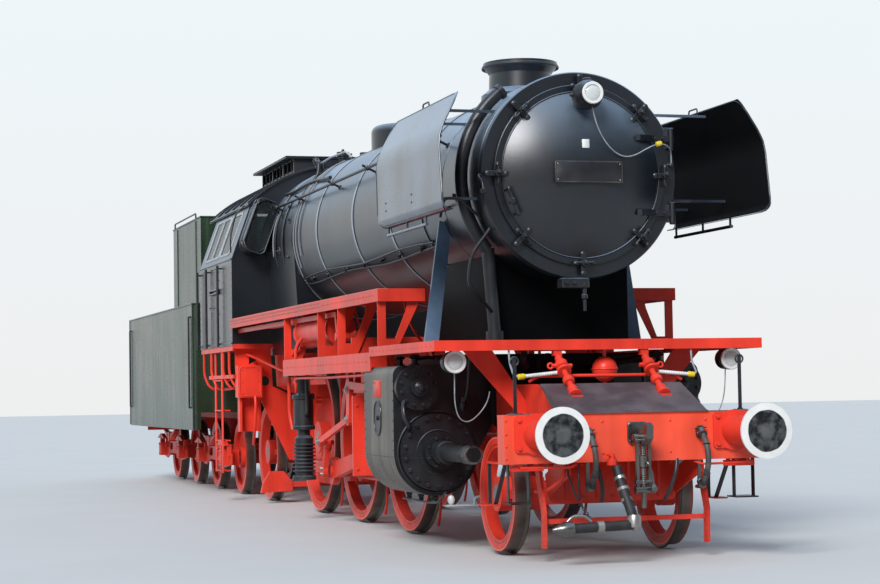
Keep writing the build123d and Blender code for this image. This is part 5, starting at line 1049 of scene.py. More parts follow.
def makeBeam(s):
    trim = Shape()
    for side in sides:
        y = side * engine["bufferHalf"]
        spots = [(s["face"], y + a, engine["bufferHigh"] + c) for a in (-0.155, 0.155)
            for c in (-0.115, 0.115)]
        trim.heads(spots, xAxis, s["bolt"] * 1.2, 0.02)
        trim.heads([(9.9925 + 0.02, side * 1.135, z) for z in (0.87, 0.97, 1.07, 1.18)], xAxis, 0.011,
            0.008, 10, True)
        for k in (0.30, 0.62):
            trim.heads([(10.013, side * k, z) for z in (0.90, 1.16)], xAxis, 0.012, 0.008, 10, True)
        top, low = np.array((9.2225, side * 0.40, 1.728)), np.array((9.6625, side * 0.40, 1.373))
        axis = (top - low) / np.linalg.norm(top - low)
        post = [(0.0, 0.024), (0.004, 0.060), (0.02, 0.060), (0.026, 0.034), (0.17, 0.026),
            (0.175, 0.046), (0.205, 0.052), (0.235, 0.046), (0.24, 0.026), (0.38, 0.024), (0.385, 0.052),
            (0.44, 0.056), (0.45, 0.030), (0.50, 0.026)]
        trim.turned(post, low, axis, 24)
        trim.bar(low + axis * 0.41 - [0, 0.09, 0], low + axis * 0.41 + [0, 0.09, 0], 0.03, 0.03, axis)
        trim.hoop(low + axis * 0.41 + [0, side * 0.105, 0], xAxis, 0.022, 0.009, 20)
        trim.pipe(flip(side, [(9.93, 0.60, 0.83), (9.93, 0.62, 0.70), (9.80, 0.70, 0.60),
            (9.55, 0.73, 0.58)]), 0.016, 0.08)
        trim.bar((9.145, side * 1.01, 0.818), (9.995, side * 1.01, 0.818), 0.034, 0.018)
        trim.block((9.13, min(side * 0.985, side * 1.11), 0.456),
            (9.36, max(side * 0.985, side * 1.11), 0.470), 0.004)
    trim.pipe([(9.34, -0.70, 1.50), (9.34, -0.62, 1.545), (9.34, 0.62, 1.545), (9.34, 0.70, 1.50)], 0.014,
        0.06)
    ball = [(0.112 * math.sin(t), 0.112 * math.cos(t)) for t in np.linspace(-1.45, 1.45, 15)]
    trim.turned([(-0.17, 0.02), *ball, (0.17, 0.02)], (9.08, 0.09, 1.60), zAxis, 28)
    trim.hoop((9.08, 0.09, 1.60), zAxis, 0.113, 0.006, 32)
    trim.turned([(-0.02, 0.03), (-0.012, 0.042), (0.03, 0.042), (0.036, 0.026), (0.08, 0.022)],
        (10.053, -0.237, 0.815), zAxis, 20)
    trim.bar((10.06, -0.237, 0.87), (10.09, -0.30, 0.89), 0.02, 0.012)
    trim.make("beamFittings", "frameRed")
    lip = Shape().block((9.985, -1.12, 1.2275), (10.018, 1.12, 1.2345), 0.002)
    lip.make("beamLip", "bareSteel")
    irons = Shape()
    for side in sides:
        y = side * 1.005
        irons.bar((9.872, y, 1.20), (9.872, y, 1.69), 0.030, 0.012, xAxis)
        irons.block((9.82, y - 0.045, 1.226), (9.925, y + 0.045, 1.240), 0.003)
        irons.hoop((9.872, y, 1.665), xAxis, 0.034, 0.008, 24)
        irons.heads([(9.84, y, 1.24), (9.905, y, 1.24)], zAxis, 0.011, 0.01)
        irons.bar((9.323, side * 1.01, 0.470), (9.600, side * 1.01, 0.812), 0.036, 0.016)
        irons.bar((9.17, side * 1.01, 0.815), (9.17, side * 1.01, 0.466), 0.030, 0.014, xAxis)
        irons.pipe(flip(side, [(10.00, 0.36, 0.84), (10.03, 0.34, 0.74), (10.00, 0.30, 0.60),
            (9.92, 0.28, 0.50)]), 0.017, 0.06)
    irons.make("lampIrons", "fittingBlack")
    steel = Shape()
    for side in sides:
        steel.block((7.98, side * 0.90 - 0.18, 0.390), (8.12, side * 0.90 + 0.18, 0.402), 0.003)
        steel.pipe(flip(side, [(8.05, 0.80, 0.40), (8.05, 0.80, 0.46), (8.05, 0.62, 0.50)]), 0.012, 0.03)
        rows = np.linspace((8.005, side * 0.76, 0.402), (8.005, side * 1.04, 0.402), 9)
        steel.heads(np.concatenate([rows, rows + [0.045, 0, 0], rows + [0.09, 0, 0]]), zAxis, 0.009,
            0.004, 8, True)
    steel.make("stepPlates", "frameSilver")
    bulbs = Shape()
    for side in sides:
        globe = [(0.0, 0.012), (0.006, 0.020), (0.03, 0.032), (0.055, 0.034), (0.08, 0.024),
            (0.09, 0.006)]
        bulbs.turned(globe, (8.05, side * 1.02, 0.402), zAxis, 20)
    bulbs.make("stepLamps", "lampGlass")


makeBeam(beamSet)

# Cross plates between the frames, ahead of the leading wheels and under the saddle
crossSet = {"front": 9.44, "rear": 7.98, "half": 0.58}


def makeCrossPlates(s):
    front = Shape()
    x, h = s["front"], s["half"]
    front.slab(roundRect(-h, h, 0.47, 0.84, 0.06), "x", x, x + 0.014, 0.003)
    for y in (-0.42, -0.14, 0.14, 0.42):
        front.bar((x + 0.02, y, 0.50), (x + 0.02, y, 0.83), 0.014, 0.03, yAxis)
    front.heads([(x + 0.014, y, z) for y in (-0.53, -0.28, 0.0, 0.28, 0.53) for z in (0.51, 0.79)], xAxis,
        0.014, 0.012)
    for side in sides:
        front.bar((x - 0.02, side * h, 0.62), (9.96, side * h, 0.82), 0.016, 0.20, zAxis)
        front.bar((9.96, side * 0.80, 0.79), (9.96, side * 1.08, 0.79), 0.02, 0.05)
        front.pipe(flip(side, [(9.98, 0.52, 0.815), (10.02, 0.58, 0.79), (10.02, 1.02, 0.795)]), 0.010,
            0.04, 8)
    front.make("frontStretcher", "frameRed")
    dark = Shape()
    x = s["rear"]
    dark.slab(roundRect(-0.60, 0.60, 1.10, 1.762, 0.05), "x", x, x + 0.02, 0.004)
    for y in (-0.45, -0.15, 0.15, 0.45):
        dark.bar((x + 0.03, y, 1.14), (x + 0.03, y, 1.74), 0.016, 0.04, yAxis)
    dark.heads(ringPoints((x + 0.02, 0.0, 1.43), "x", 0.22, 10), xAxis, 0.018, 0.016)
    dark.turned([(0.0, 0.20), (0.02, 0.20), (0.028, 0.185), (0.03, 0.02)], (x + 0.01, 0, 1.43), xAxis, 32)
    for side in sides:
        dark.block((6.86, side * 0.80 - 0.20, 1.60), (7.82, side * 0.80 + 0.20, 1.765), 0.02)
        dark.pipe(flip(side, [(7.98, 0.35, 1.62), (8.30, 0.36, 1.64), (8.75, 0.55, 1.70),
            (9.0, 0.62, 1.74)]), 0.03, 0.1)
    dark.make("saddleFoot", "deepBlack")


makeCrossPlates(crossSet)


# Screw coupling with its thread, turnbuckle lever, hook cheeks and split pins, at either end
def makeCoupling(name, x, way, body):
    c = Shape()
    cheek = roundRect(-0.085, 0.085, -0.075, 0.105, 0.03)
    c.slab(cheek + [0, 1.048], "x", x + way * 0.004, x + way * 0.030, 0.004)
    spots = [(x + way * 0.030, y, z) for y in (-0.062, 0.062) for z in (0.995, 1.13)]
    c.heads(spots, (way, 0, 0), 0.013, 0.016)
    c.turned([(-0.088, 0.010), (-0.085, 0.026), (-0.06, 0.028), (0.06, 0.028), (0.085, 0.026),
        (0.088, 0.010)], (x + way * 0.135, 0, 1.03), yAxis, 18)
    k = np.arange(41)
    thread = np.stack([k * 0.009, 0.021 + 0.005 * (k % 2)], -1)
    c.turned(thread, (x + way * 0.135, 0, 0.64), zAxis, 14)
    c.turned([(-0.05, 0.026), (-0.045, 0.036), (0.045, 0.036), (0.05, 0.026)], (x + way * 0.135, 0, 0.83),
        zAxis, 14)
    c.pipe([(x + way * 0.15, 0, 0.83), (x + way * 0.19, 0.02, 0.82), (x + way * 0.205, 0.05, 0.74),
        (x + way * 0.20, 0.06, 0.64)], 0.011, 0.05)
    c.turned([(-0.035, 0.012), (-0.02, 0.03), (0.01, 0.034), (0.035, 0.014)],
        (x + way * 0.20, 0.062, 0.61), zAxis, 16)
    for z in (0.66, 1.0):
        c.turned([(-0.075, 0.018), (-0.072, 0.022), (0.072, 0.022), (0.075, 0.018)],
            (x + way * 0.135, 0, z), yAxis, 14)
    c.make(name, "oilySteel", body)


makeCoupling("frontScrew", engine["beam"], 1, "engine")

# Hanging gear below the beam: hose end, its stirrup and chain, cocks of the air hoses
hangSet = {"link": 0.020, "links": 9}


def makeHanging(s):
    end = Shape()
    start, lead = (10.245, -0.09, 0.325), (0, -1, -0.03)
    end.turned([(0.0, 0.03), (0.01, 0.052), (0.05, 0.054), (0.06, 0.036)], start, lead, 24)
    end.turned([(0.302, 0.036), (0.31, 0.050), (0.36, 0.050), (0.368, 0.036)], start, lead, 24)
    nose = Shape()
    nose.turned([(0.555, 0.036), (0.57, 0.060), (0.64, 0.062), (0.69, 0.040), (0.74, 0.016)], start, lead,
        24)
    nose.make("hoseNose", "oilySteel")
    k = np.arange(46)
    ribs = np.stack([0.050 + k * 0.0114, 0.0405 + 0.002 * (k % 2)], -1)
    Shape().turned(ribs, start, lead, 24).make("hoseTube", "blackRubber")
    end.turned([(-0.045, 0.046), (-0.035, 0.058), (0.035, 0.058), (0.06, 0.047)], (10.245, -0.13, 0.345),
        zAxis, 20)
    end.pipe([(10.245, -0.50, 0.36), (10.245, -0.56, 0.41), (10.245, -0.66, 0.41), (10.245, -0.72, 0.35)],
        0.012, 0.04)
    for t in (0.18, 0.42, 0.66):
        at = np.array((10.075, -0.199, 0.76)) * (1 - t) + np.array((10.235, -0.145, 0.40)) * t
        end.turned([(-0.014, 0.046), (-0.012, 0.050), (0.012, 0.050), (0.014, 0.046)], at,
            (0.16, 0.054, -0.36), 24)
    end.make("hoseConnector", "bareSteel")
    gear = Shape()
    gear.pipe([(9.973, -0.597, 0.80), (9.975, -0.597, 0.745), (10.04, -0.560, 0.57),
        (10.09, -0.540, 0.52), (10.04, -0.520, 0.57), (9.975, -0.507, 0.745), (9.973, -0.507, 0.80)],
        0.009, 0.04, 8)
    k = np.arange(s["links"])
    start, stop = np.array((10.09, -0.54, 0.505)), np.array((10.235, -0.50, 0.375))
    for n, at in zip(k, start + (stop - start) * (k[:, None] / (s["links"] - 1))):
        gear.hoop(at, (1, 0, 0.6) if n % 2 else (0, 1, 0.2), s["link"] * 0.62, 0.0045, 14)
    for y in (-0.43, 0.56):
        for z in (1.038, 0.645):
            gear.turned([(0.0, 0.026), (0.004, 0.036), (0.03, 0.036), (0.034, 0.029), (0.07, 0.028),
                (0.075, 0.034), (0.09, 0.032)], (10.022, y, z), xAxis, 20)
        gear.bar((10.05, y - 0.05, 1.085), (10.05, y + 0.05, 1.095), 0.018, 0.010)
        for x, z, way in ((10.166, 0.96, -1), (10.158, 0.72, 1)):
            gear.hoop((x, y, z), (0.35, 0, way), 0.026, 0.005, 20)
    gear.make("hangingGear", "fittingBlack")
    spring, plugs, wires = Shape(), Shape(), Shape()
    for side in sides:
        k = np.arange(52)
        coil = np.stack([k * 0.0078, 0.014 + 0.003 * (k % 2)], -1)
        outer = (9.373, side * 0.748, 1.545)
        spring.turned(coil, outer, (0, -side, 0.094), 16)
        plugs.turned([(-0.062, 0.010), (-0.058, 0.024), (-0.006, 0.025), (0.004, 0.019)], outer,
            (0, -side, 0.094), 16)
        wires.pipe(flip(side, [(9.373, 0.800, 1.540), (9.350, 0.84, 1.56), (9.25, 0.84, 1.66),
            (9.235, 0.84, 1.770)]), 0.009, 0.05)
    spring.make("heaterCable", "rimWhite")
    plugs.make("heaterPlug", "plugYellow")
    wires.make("heaterWire", "cableGrey")


makeHanging(hangSet)
print("beam done")

# Cylinders: cover bolts, blank plate and oval cover on the casing, cocks and pipes
cylinderSet = {"front": 7.8725, "spread": 1.10, "gear": 1.29, "out": 1.50}


def makeCylinders(s):
    f, zc, zv = s["front"], engine["cylinderHigh"], engine["valve"]
    for k, side in enumerate(sides):
        y, v, out = side * s["spread"], side * s["gear"], side * s["out"]
        bolts = Shape()
        bolts.heads(ringPoints((f + 0.06, y, zc), "x", 0.315, 18, 10), xAxis, 0.019, 0.030)
        bolts.heads(ringPoints((f + 0.17, y, zc), "x", 0.132, 8, 22.5), xAxis, 0.012, 0.02)
        bolts.heads(ringPoints((f + 0.09, v, zv), "x", 0.165, 12, 15), xAxis, 0.016, 0.024)
        bolts.hoop((f + 0.062, y, zc), xAxis, 0.20, 0.007, 48)
        bolts.hoop((f + 0.010, y, zc), xAxis, 0.366, 0.009, 64)
        bolts.turned([(0, 0.074), (0.0, 0.098), (0.03, 0.104), (0.06, 0.098), (0.062, 0.074)],
            (f + 0.30, y, zc), xAxis, 32, True)
        tube = [(-0.20, 0.0745), (-0.19, 0.082), (0.0, 0.082), (0.004, 0.078), (0.004, 0.064),
            (0.0012, 0.062), (0.0012, 0.070)]
        Shape().turned(tube, (9.0235, y, zc), xAxis, 36, True).make(f"tailTube{k}", "oilySteel")
        # A black disc just inside the tail tube's mouth: painted shade in the hollow rod end
        Shape().turned([(-0.004, 0.063), (0.0018, 0.063), (0.0022, 0.02)], (9.0235, y, zc), xAxis,
            28).make(f"tailBoreShade{k}", "deepBlack")
        bolts.turned([(0.0, 0.05), (0.02, 0.05), (0.03, 0.03), (0.07, 0.028), (0.075, 0.01)],
            (f + 0.15, v, zv), xAxis, 20)
        bolts.bar((f + 0.205, v - 0.06, zv), (f + 0.205, v + 0.06, zv), 0.018, 0.018)
        bolts.make(f"coverBolts{k}", "fittingBlack")
        case = Shape()
        plate = rect(7.17, 7.43, 1.38, 1.54, 0.012)
        case.slab(plate, "y", *sorted((out - side * 0.002, out + side * 0.006)), 0.002)
        case.heads([(x, out + side * 0.006, z) for x in (7.19, 7.41) for z in (1.40, 1.52)], (0, side, 0),
            0.008, 0.005, 8, True)
        case.make(f"casePlate{k}", "frameRed")
        cover = Shape()
        oval = roundRect(7.20, 7.44, 1.03, 1.35, 0.119)
        cover.slab(oval, "y", *sorted((out - side * 0.002, out + side * 0.004)), 0.002)
        path = np.column_stack([oval[:, 0], np.full(len(oval), out + side * 0.004), oval[:, 1]])
        cover.swept(path, circle(0.008, 8), True, yAxis)
        cover.heads([(7.32, out + side * 0.004, 1.19)], (0, side, 0), 0.024, 0.018)
        edges = np.concatenate([np.linspace((x, out, 0.90), (x, out, 1.53), 8) for x in (6.835, 7.85)])
        cover.heads(edges, (0, side, 0), 0.008, 0.005, 8, True)
        cover.make(f"caseCover{k}", "fittingBlack")
        cocks = Shape()
        for x in (6.93, 7.34, 7.78):
            cocks.turned([(0, 0.03), (0.02, 0.034), (0.04, 0.022), (0.06, 0.026), (0.075, 0.014)],
                (x, y, 0.482), (0, 0, -1), 16)
        cocks.pipe([(6.90, y + side * 0.05, 0.415), (7.85, y + side * 0.05, 0.415),
            (8.06, y + side * 0.04, 0.43), (8.15, y, 0.52)], 0.011, 0.06, 8)
        for x in (7.10, 7.60):
            cocks.turned([(0, 0.05), (0.015, 0.05), (0.02, 0.03), (0.06, 0.03), (0.07, 0.05),
                (0.09, 0.045), (0.10, 0.02)], (x, side * 1.22, 1.672), zAxis, 20)
        cocks.pipe(flip(side, [(7.60, 1.22, 1.73), (7.60, 1.10, 1.745), (7.60, 1.02, 1.74)]), 0.018, 0.05)
        cocks.pipe([(f + 0.05, v + side * 0.12, 1.36), (f + 0.13, v + side * 0.15, 1.30),
            (f + 0.16, v + side * 0.15, 1.20), (f + 0.14, v + side * 0.10, 1.12),
            (f + 0.06, y + side * 0.27, 1.09)], 0.022, 0.06)
        cocks.pipe([(f + 0.04, y - side * 0.20, 1.26), (f + 0.12, y - side * 0.22, 1.30),
            (f + 0.22, y - side * 0.24, 1.42), (f + 0.24, y - side * 0.26, 1.74)], 0.018, 0.07)
        cocks.turned([(-0.03, 0.024), (0, 0.034), (0.05, 0.034), (0.06, 0.024), (0.10, 0.02)],
            (f + 0.12, y - side * 0.22, 1.28), (0.3, 0, 1), 16)
        cocks.make(f"cylinderCocks{k}", "fittingBlack")


makeCylinders(cylinderSet)
print("cylinders done")

# Rods: nuts on the crank pins, bolts on guides, crossheads and brasses
rodSet = {"crank": 0.33, "driverHigh": 0.903, "coupling": 0.95, "rodLength": 2.25, "arm": 0.14}


def makeRods(s):
    front, main, rear = engine["drivers"]
    crank = s["crank"]
    for k, (side, body, dx, dz) in enumerate(((-1, "rod_right", 0.0, -crank),
            (1, "rod_left", crank, 0.0))):
        z, y = s["driverHigh"] + dz, side * s["coupling"]
        pins = Shape()
        for x in (front + dx, rear + dx):
            pins.turned([(0, 0.078), (0.014, 0.076), (0.02, 0.05), (0.034, 0.046), (0.036, 0.02)],
                (x, y - side * 0.002, z), (0, side, 0), 24)
        for x in (front + dx, main + dx, rear + dx):
            pins.turned([(-0.01, 0.026), (0.03, 0.026), (0.035, 0.018), (0.055, 0.016), (0.06, 0.006)],
                (x, side * 0.912, z + 0.094), zAxis, 14)
        pins.make(f"couplingPins{k}", "bareSteel", body)
        gear = Shape()
        angle = math.atan2(dz, dx)
        tip = (main - s["arm"] * math.sin(angle), s["driverHigh"] + s["arm"] * math.cos(angle))
        gear.heads(ringPoints((main + dx, side * 1.239, z), "y", 0.042, 4, 45), (0, side, 0), 0.013,
            0.018)
        gear.turned([(0, 0.045), (0.012, 0.045), (0.016, 0.028), (0.03, 0.026), (0.032, 0.008)],
            (tip[0], side * 1.31, tip[1]), (0, side, 0), 20)
        for at in ((front - 0.53, 1.158), (front - 0.52, 1.458)):
            gear.turned([(0, 0.04), (0.014, 0.04), (0.018, 0.022), (0.03, 0.02), (0.032, 0.006)],
                (at[0], side * 1.31, at[1]), (0, side, 0), 18)
        links = [(6.4825, side * 1.315, high) for high in (0.70, 1.10, 1.468)]
        gear.heads(links, (0, side, 0), 0.024, 0.018, 8, True)
        cross = [(x, side * 1.17, high) for x in (5.97, 6.11, 6.24) for high in (0.80, 0.96)]
        gear.heads(cross, (0, side, 0), 0.014, 0.012)
        gear.turned([(0, 0.06), (0.012, 0.058), (0.02, 0.034), (0.034, 0.03), (0.036, 0.01)],
            (main + dx + math.sqrt(s["rodLength"] ** 2 - (engine["cylinderHigh"] - z) ** 2), side * 1.17,
            engine["cylinderHigh"]), (0, side, 0), 22)
        gear.make(f"gearPins{k}", "bareSteel")
        bolts = Shape()
        for x in (5.60, 5.90, 6.30, 6.65):
            for high in (1.108, 0.648):
                bolts.heads([(x, side * 1.155, high - 0.03)], (0, side, 0), 0.013, 0.012)
        bracket = [(5.705, side * q, w) for q in (1.03, 1.30) for w in (0.66, 1.30, 1.66)]
        bolts.heads(bracket, xAxis, 0.015, 0.014)
        bolts.make(f"guideBolts{k}", "frameRed")


makeRods(rodSet)


# Underframe: sanding and feed pipes, bolts of boards and brackets, boxes below the cab, pumps' pipes
def makeUnder():
    for k, side in enumerate(sides):
        sand = Shape()
        for x in engine["drivers"]:
            sand.pipe(flip(side, [(x + 0.70, 1.02, 2.30), (x + 0.80, 0.98, 2.05), (x + 0.925, 0.76, 1.70),
                (x + 0.928, 0.755, 0.95), (x + 0.926, 0.75, 0.30), (x + 0.83, 0.75, 0.13)]), 0.015, 0.12,
                8)
        sand.pipe(flip(side, [(0.93, 1.36, 2.26), (1.8, 1.30, 2.24), (3.52, 1.30, 2.245)]), 0.028, 0.1)
        sand.pipe(flip(side, [(3.24, 1.30, 2.20), (3.24, 1.36, 1.95), (3.05, 1.42, 1.80),
            (3.05, 1.42, 1.20), (3.12, 1.40, 1.02)]), 0.022, 0.09)
        sand.pipe(flip(side, [(3.42, 1.42, 1.45), (3.50, 1.44, 1.50), (3.50, 1.44, 1.95),
            (3.60, 1.34, 2.10)]), 0.018, 0.08)
        sand.pipe(flip(side, [(7.0, 1.455, 1.60), (5.2, 1.455, 1.59), (3.6, 1.455, 1.60),
            (3.4, 1.44, 1.55)]), 0.016, 0.08)
        sand.pipe(flip(side, [(-0.3, 1.30, 1.96), (-0.05, 1.20, 1.90), (0.9, 1.06, 1.72),
            (2.6, 1.04, 1.60)]), 0.018, 0.12)
        sand.make(f"sandPipes{k}", "frameRed")
        bolts = Shape()
        for x in (7.3125, 5.7225, 4.8225, 3.1325):
            bolts.heads([(x, side * y, 2.31) for y in (1.12, 1.40)], xAxis, 0.014, 0.012)
        edge = np.concatenate([np.linspace((5.1, side * 1.4995, 2.34), (7.2, side * 1.4995, 2.34), 18),
            np.linspace((3.2, side * 1.4995, 1.72), (6.9, side * 1.4995, 1.72), 26)])
        bolts.heads(edge, (0, side, 0), 0.009, 0.006, 8, True)
        rim = np.linspace((7.2, side * 1.5095, 1.812), (9.15, side * 1.5095, 1.812), 16)
        bolts.heads(rim, (0, side, 0), 0.009, 0.005, 8, True)
        bolts.make(f"boardBolts{k}", "frameRed")
        box = Shape()
        path = roundRect(1.13, 1.40, 1.41, 1.775, 0.03) * [side, 1]
        ring = np.column_stack([np.full(len(path), -0.046), path])
        box.swept(ring, circle(0.008, 8), True, xAxis)
        box.heads([(-0.046, side * y, z) for y in (1.16, 1.37) for z in (1.44, 1.60, 1.745)], xAxis,
            0.011, 0.01)
        box.pipe(flip(side, [(-0.06, 1.20, 1.41), (-0.02, 1.20, 1.30), (-0.02, 1.22, 0.95),
            (-0.20, 1.20, 0.78)]), 0.02, 0.08)
        box.bar((-2.0, side * 1.44, 1.66), (-0.25, side * 1.44, 1.66), 0.03, 0.05)
        box.block((-2.50, min(side * 1.472, side * 1.44), 1.99),
            (-0.15, max(side * 1.472, side * 1.44), 2.055))
        for x in (-0.45, -0.8875, -1.7675, -2.35):
            box.pipe(flip(side, [(x, 1.46, 1.99), (x, 1.46, 1.70), (x + 0.10, 1.42, 1.56),
                (x + 0.12, 1.36, 1.505), (x + 0.12, 1.30, 1.505)]), 0.017, 0.1, 8)
        box.pipe(flip(side, [(-2.35, 1.30, 1.52), (-1.62, 1.30, 1.50), (-0.50, 1.30, 1.52)]), 0.020, 0.1)
        box.make(f"cabBelow{k}", "frameRed")
        tank = Shape()
        for x in (3.32, 4.62):
            tank.hoop((x, side * 1.23, 2.108), xAxis, 0.169, 0.007, 48)
        tank.turned([(-0.01, 0.05), (0.02, 0.046), (0.03, 0.02), (0.05, 0.018)],
            (4.765, side * 1.23, 2.108), xAxis, 20)
        tank.make(f"reservoirBands{k}", "frameRed")
        pump = Shape()
        x, y = 3.2425, side * 1.30
        for z in (1.035, 1.390):
            pump.heads(ringPoints((x, y, z + 0.02), "z", 0.112, 10), zAxis, 0.011, 0.018)
        pump.heads(ringPoints((x, y, 0.498), "z", 0.118, 10), zAxis, 0.011, 0.014)
        pump.pipe([(x + 0.10, y, 1.20), (x + 0.17, y, 1.20), (x + 0.17, y, 1.50), (x + 0.17, y, 1.62)],
            0.022, 0.06)
        pump.pipe([(x - 0.09, y, 0.60), (x - 0.17, y, 0.60), (x - 0.17, y, 1.05), (x - 0.17, y, 1.62)],
            0.024, 0.06)
        pump.make(f"pumpPipes{k}", "fittingBlack")


makeUnder()
print("underframe done")

# Cab: window frames, beads, gutters, rivets, door studs, hood rims, roof strips, backhead fittings
cabSet = {"lean": 0.3630, "windows": ((-1.1275, -0.4475), (-2.2275, -1.2075)), "low": 3.268, "high": 3.798,
          "crown": 4.411, "roofHalf": 1.2425, "roofEdge": 3.905}


# Points on the cab side, upright to the waist and leaning in above it
def onCab(x, z, side, out=0.0):
    y = engine["cabHalf"] - cabSet["lean"] * np.maximum(z - engine["waist"], 0.0) + out
    return np.stack(np.broadcast_arrays(x, side * y, z), -1)


def makeCab(s):
    x0, x1 = engine["cabRear"], engine["cabFront"]
    for k, side in enumerate(sides):
        frames = Shape()
        for rear, front in s["windows"]:
            line = roundRect(rear - 0.004, front + 0.004, s["low"] - 0.004, s["high"] + 0.004, 0.05)
            frames.swept(onCab(line[:, 0], line[:, 1], side, 0.006),
                rect(-0.016, 0.016, -0.006, 0.008, 0.003), True, yAxis)
        middle = (s["windows"][1][0] + s["windows"][1][1]) / 2
        posts = onCab(middle, np.array([s["low"], s["high"]]), side, 0.006)
        frames.swept(posts, rect(-0.014, 0.014, -0.008, 0.008, 0.003), up=yAxis)
        frames.make(f"windowFrames{k}", "frameSilver")
        beads = Shape()
        for z, out in ((engine["waist"], 0.003), (engine["floor"] + 0.012, 0.003)):
            ends = onCab(np.array([x0 + 0.01, x1 - 0.01]), np.array([z, z]), side, out)
            beads.swept(ends, circle(0.011, 8), up=zAxis)
        gutter = [(x0 - 0.40, side * 1.243, 3.882), (x1 + 0.02, side * 1.243, 3.882)]
        beads.swept(gutter, rect(-0.012, 0.012, -0.014, 0.014, 0.004), up=zAxis)
        beads.make(f"cabBeads{k}", "boilerBlack")
        studs = Shape()
        rows = [onCab(x, np.linspace(2.16, 3.08, 12), side) for x in (x1 - 0.05, x1 - 0.62, x0 + 0.05)]
        rows += [onCab(np.linspace(x0 + 0.10, -1.80, 8), 2.12 + np.zeros(8), side),
            onCab(np.linspace(-0.86, x1 - 0.08, 8), 2.12 + np.zeros(8), side),
            onCab(np.linspace(x0 + 0.10, x1 - 0.10, 24), 3.86 + np.zeros(24), side)]
        studs.heads(np.concatenate(rows), (0, side, 0), 0.0085, 0.004, 8, True)
        door = [(x, side * 1.478, z) for x in (-1.62, -1.03) for z in (2.18, 2.50, 2.95, 3.06)]
        studs.make(f"cabRivets{k}", "boilerBlack")
        Shape().heads(door, (0, side, 0), 0.009, 0.005, 8,
            True).put(*pipe(flip(side, [(-1.60, 1.482, 2.60), (-1.60, 1.505, 2.60),
            (-1.50, 1.505, 2.60)]), 0.009, 0.01, 8)).make(f"doorStuds{k}", "fittingBlack",
            "cab_door_r" if side < 0 else "cab_door_l")
        rims = Shape()
        lean = math.radians(20.0)
        for x, grow in ((0.2495, 0.0), (0.06, 0.006)):
            line = roundRect(-0.148 - grow, 0.148 + grow, -0.348 - grow, 0.348 + grow, 0.075)
            a, c = line[:, 0], line[:, 1]
            y = side * (1.155 + a * math.cos(lean) - c * math.sin(lean))
            z = 3.573 + a * math.sin(lean) + c * math.cos(lean)
            path = np.column_stack([np.full(len(line), x), y, z])
            rims.swept(path, circle(0.009, 8), True, xAxis)
        rims.pipe(flip(side, [(0.02, 1.33, 3.86), (0.0, 1.44, 3.74), (-0.02, 1.505, 3.45),
            (-0.02, 1.505, 3.25)]), 0.010, 0.08, 8)
        rims.make(f"hoodRims{k}", "fittingBlack")
    roof = Shape()
    crown, half = s["crown"], s["roofHalf"]
    rise = crown - s["roofEdge"]
    radius = (half ** 2 + rise ** 2) / (2 * rise)
    span = math.asin(half / radius)
    t = np.linspace(-span, span, 33)
    for x in np.linspace(x0 - 0.36, x1 - 0.02, 6):
        path = np.column_stack([np.full(len(t), x), radius * np.sin(t),
            crown - radius + radius * np.cos(t)])
        roof.swept(path, rect(-0.014, 0.014, -0.003, 0.004, 0.002), up=xAxis)
    roof.make("roofStrips", "roofBlack")
    louvres = Shape()
    for side in sides:
        for x in np.linspace(-2.30, -0.42, 9):
            louvres.bar((x, side * 0.602, 4.34), (x, side * 0.602, 4.505), 0.018, 0.010, xAxis)
    for x in (-2.4375, -0.2175):
        louvres.bar((x, -0.71, 4.531), (x, 0.71, 4.531), 0.016, 0.012)
    louvres.make("ventPosts", "roofBlack")
    faces, dials = Shape(), Shape()
    gauges = [(-0.35, 3.62, 0.10), (0.0, 3.72, 0.12), (0.34, 3.62, 0.09), (-0.62, 3.40, 0.07),
        (0.62, 3.40, 0.07)]
    for y, z, q in gauges:
        dials.turned([(0, 0.02), (0, q), (0.03, q + 0.008), (0.045, q), (0.042, q - 0.012),
            (0.036, 0.02)], (-0.632, y, z), (-1, 0, 0), 28)
        faces.turned([(0.036, q * 0.86), (0.0405, q * 0.84), (0.041, 0.006)], (-0.634, y, z), (-1, 0, 0),
            24)
    for y, z, q in ((-0.30, 2.95, 0.10), (0.28, 2.98, 0.09), (0.55, 2.80, 0.11), (-0.62, 2.85, 0.08)):
        dials.hoop((-0.76, y, z), xAxis, q, 0.009, 32)
        dials.bar((-0.76, y - q, z), (-0.76, y + q, z), 0.014, 0.010)
        dials.bar((-0.76, y, z - q), (-0.76, y, z + q), 0.014, 0.010, yAxis)
        dials.turned([(0, 0.018), (0.13, 0.018), (0.14, 0.012)], (-0.775, y, z), xAxis, 14)
    dials.pipe([(-0.64, 0, 3.60), (-0.70, 0, 3.50), (-0.72, -0.10, 3.30), (-0.66, -0.12, 3.10)], 0.012,
        0.06)
    dials.pipe([(-0.64, 0.3, 3.54), (-0.71, 0.32, 3.40), (-0.70, 0.24, 3.15), (-0.65, 0.22, 3.05)], 0.012,
        0.06)
    dials.make("backheadFittings", "fittingBlack")
    faces.make("gaugeFaces", "rimWhite")


makeCab(cabSet)
print("cab done")

# Tender: beads, rails, ladders, coupling and hook, rear pipes, bolts of box covers, springs' leaves
tenderSet = {"top": 2.728, "half": 1.50, "front": -3.0775, "rear": -9.6375, "bunker": (-6.1575, -3.6275)}


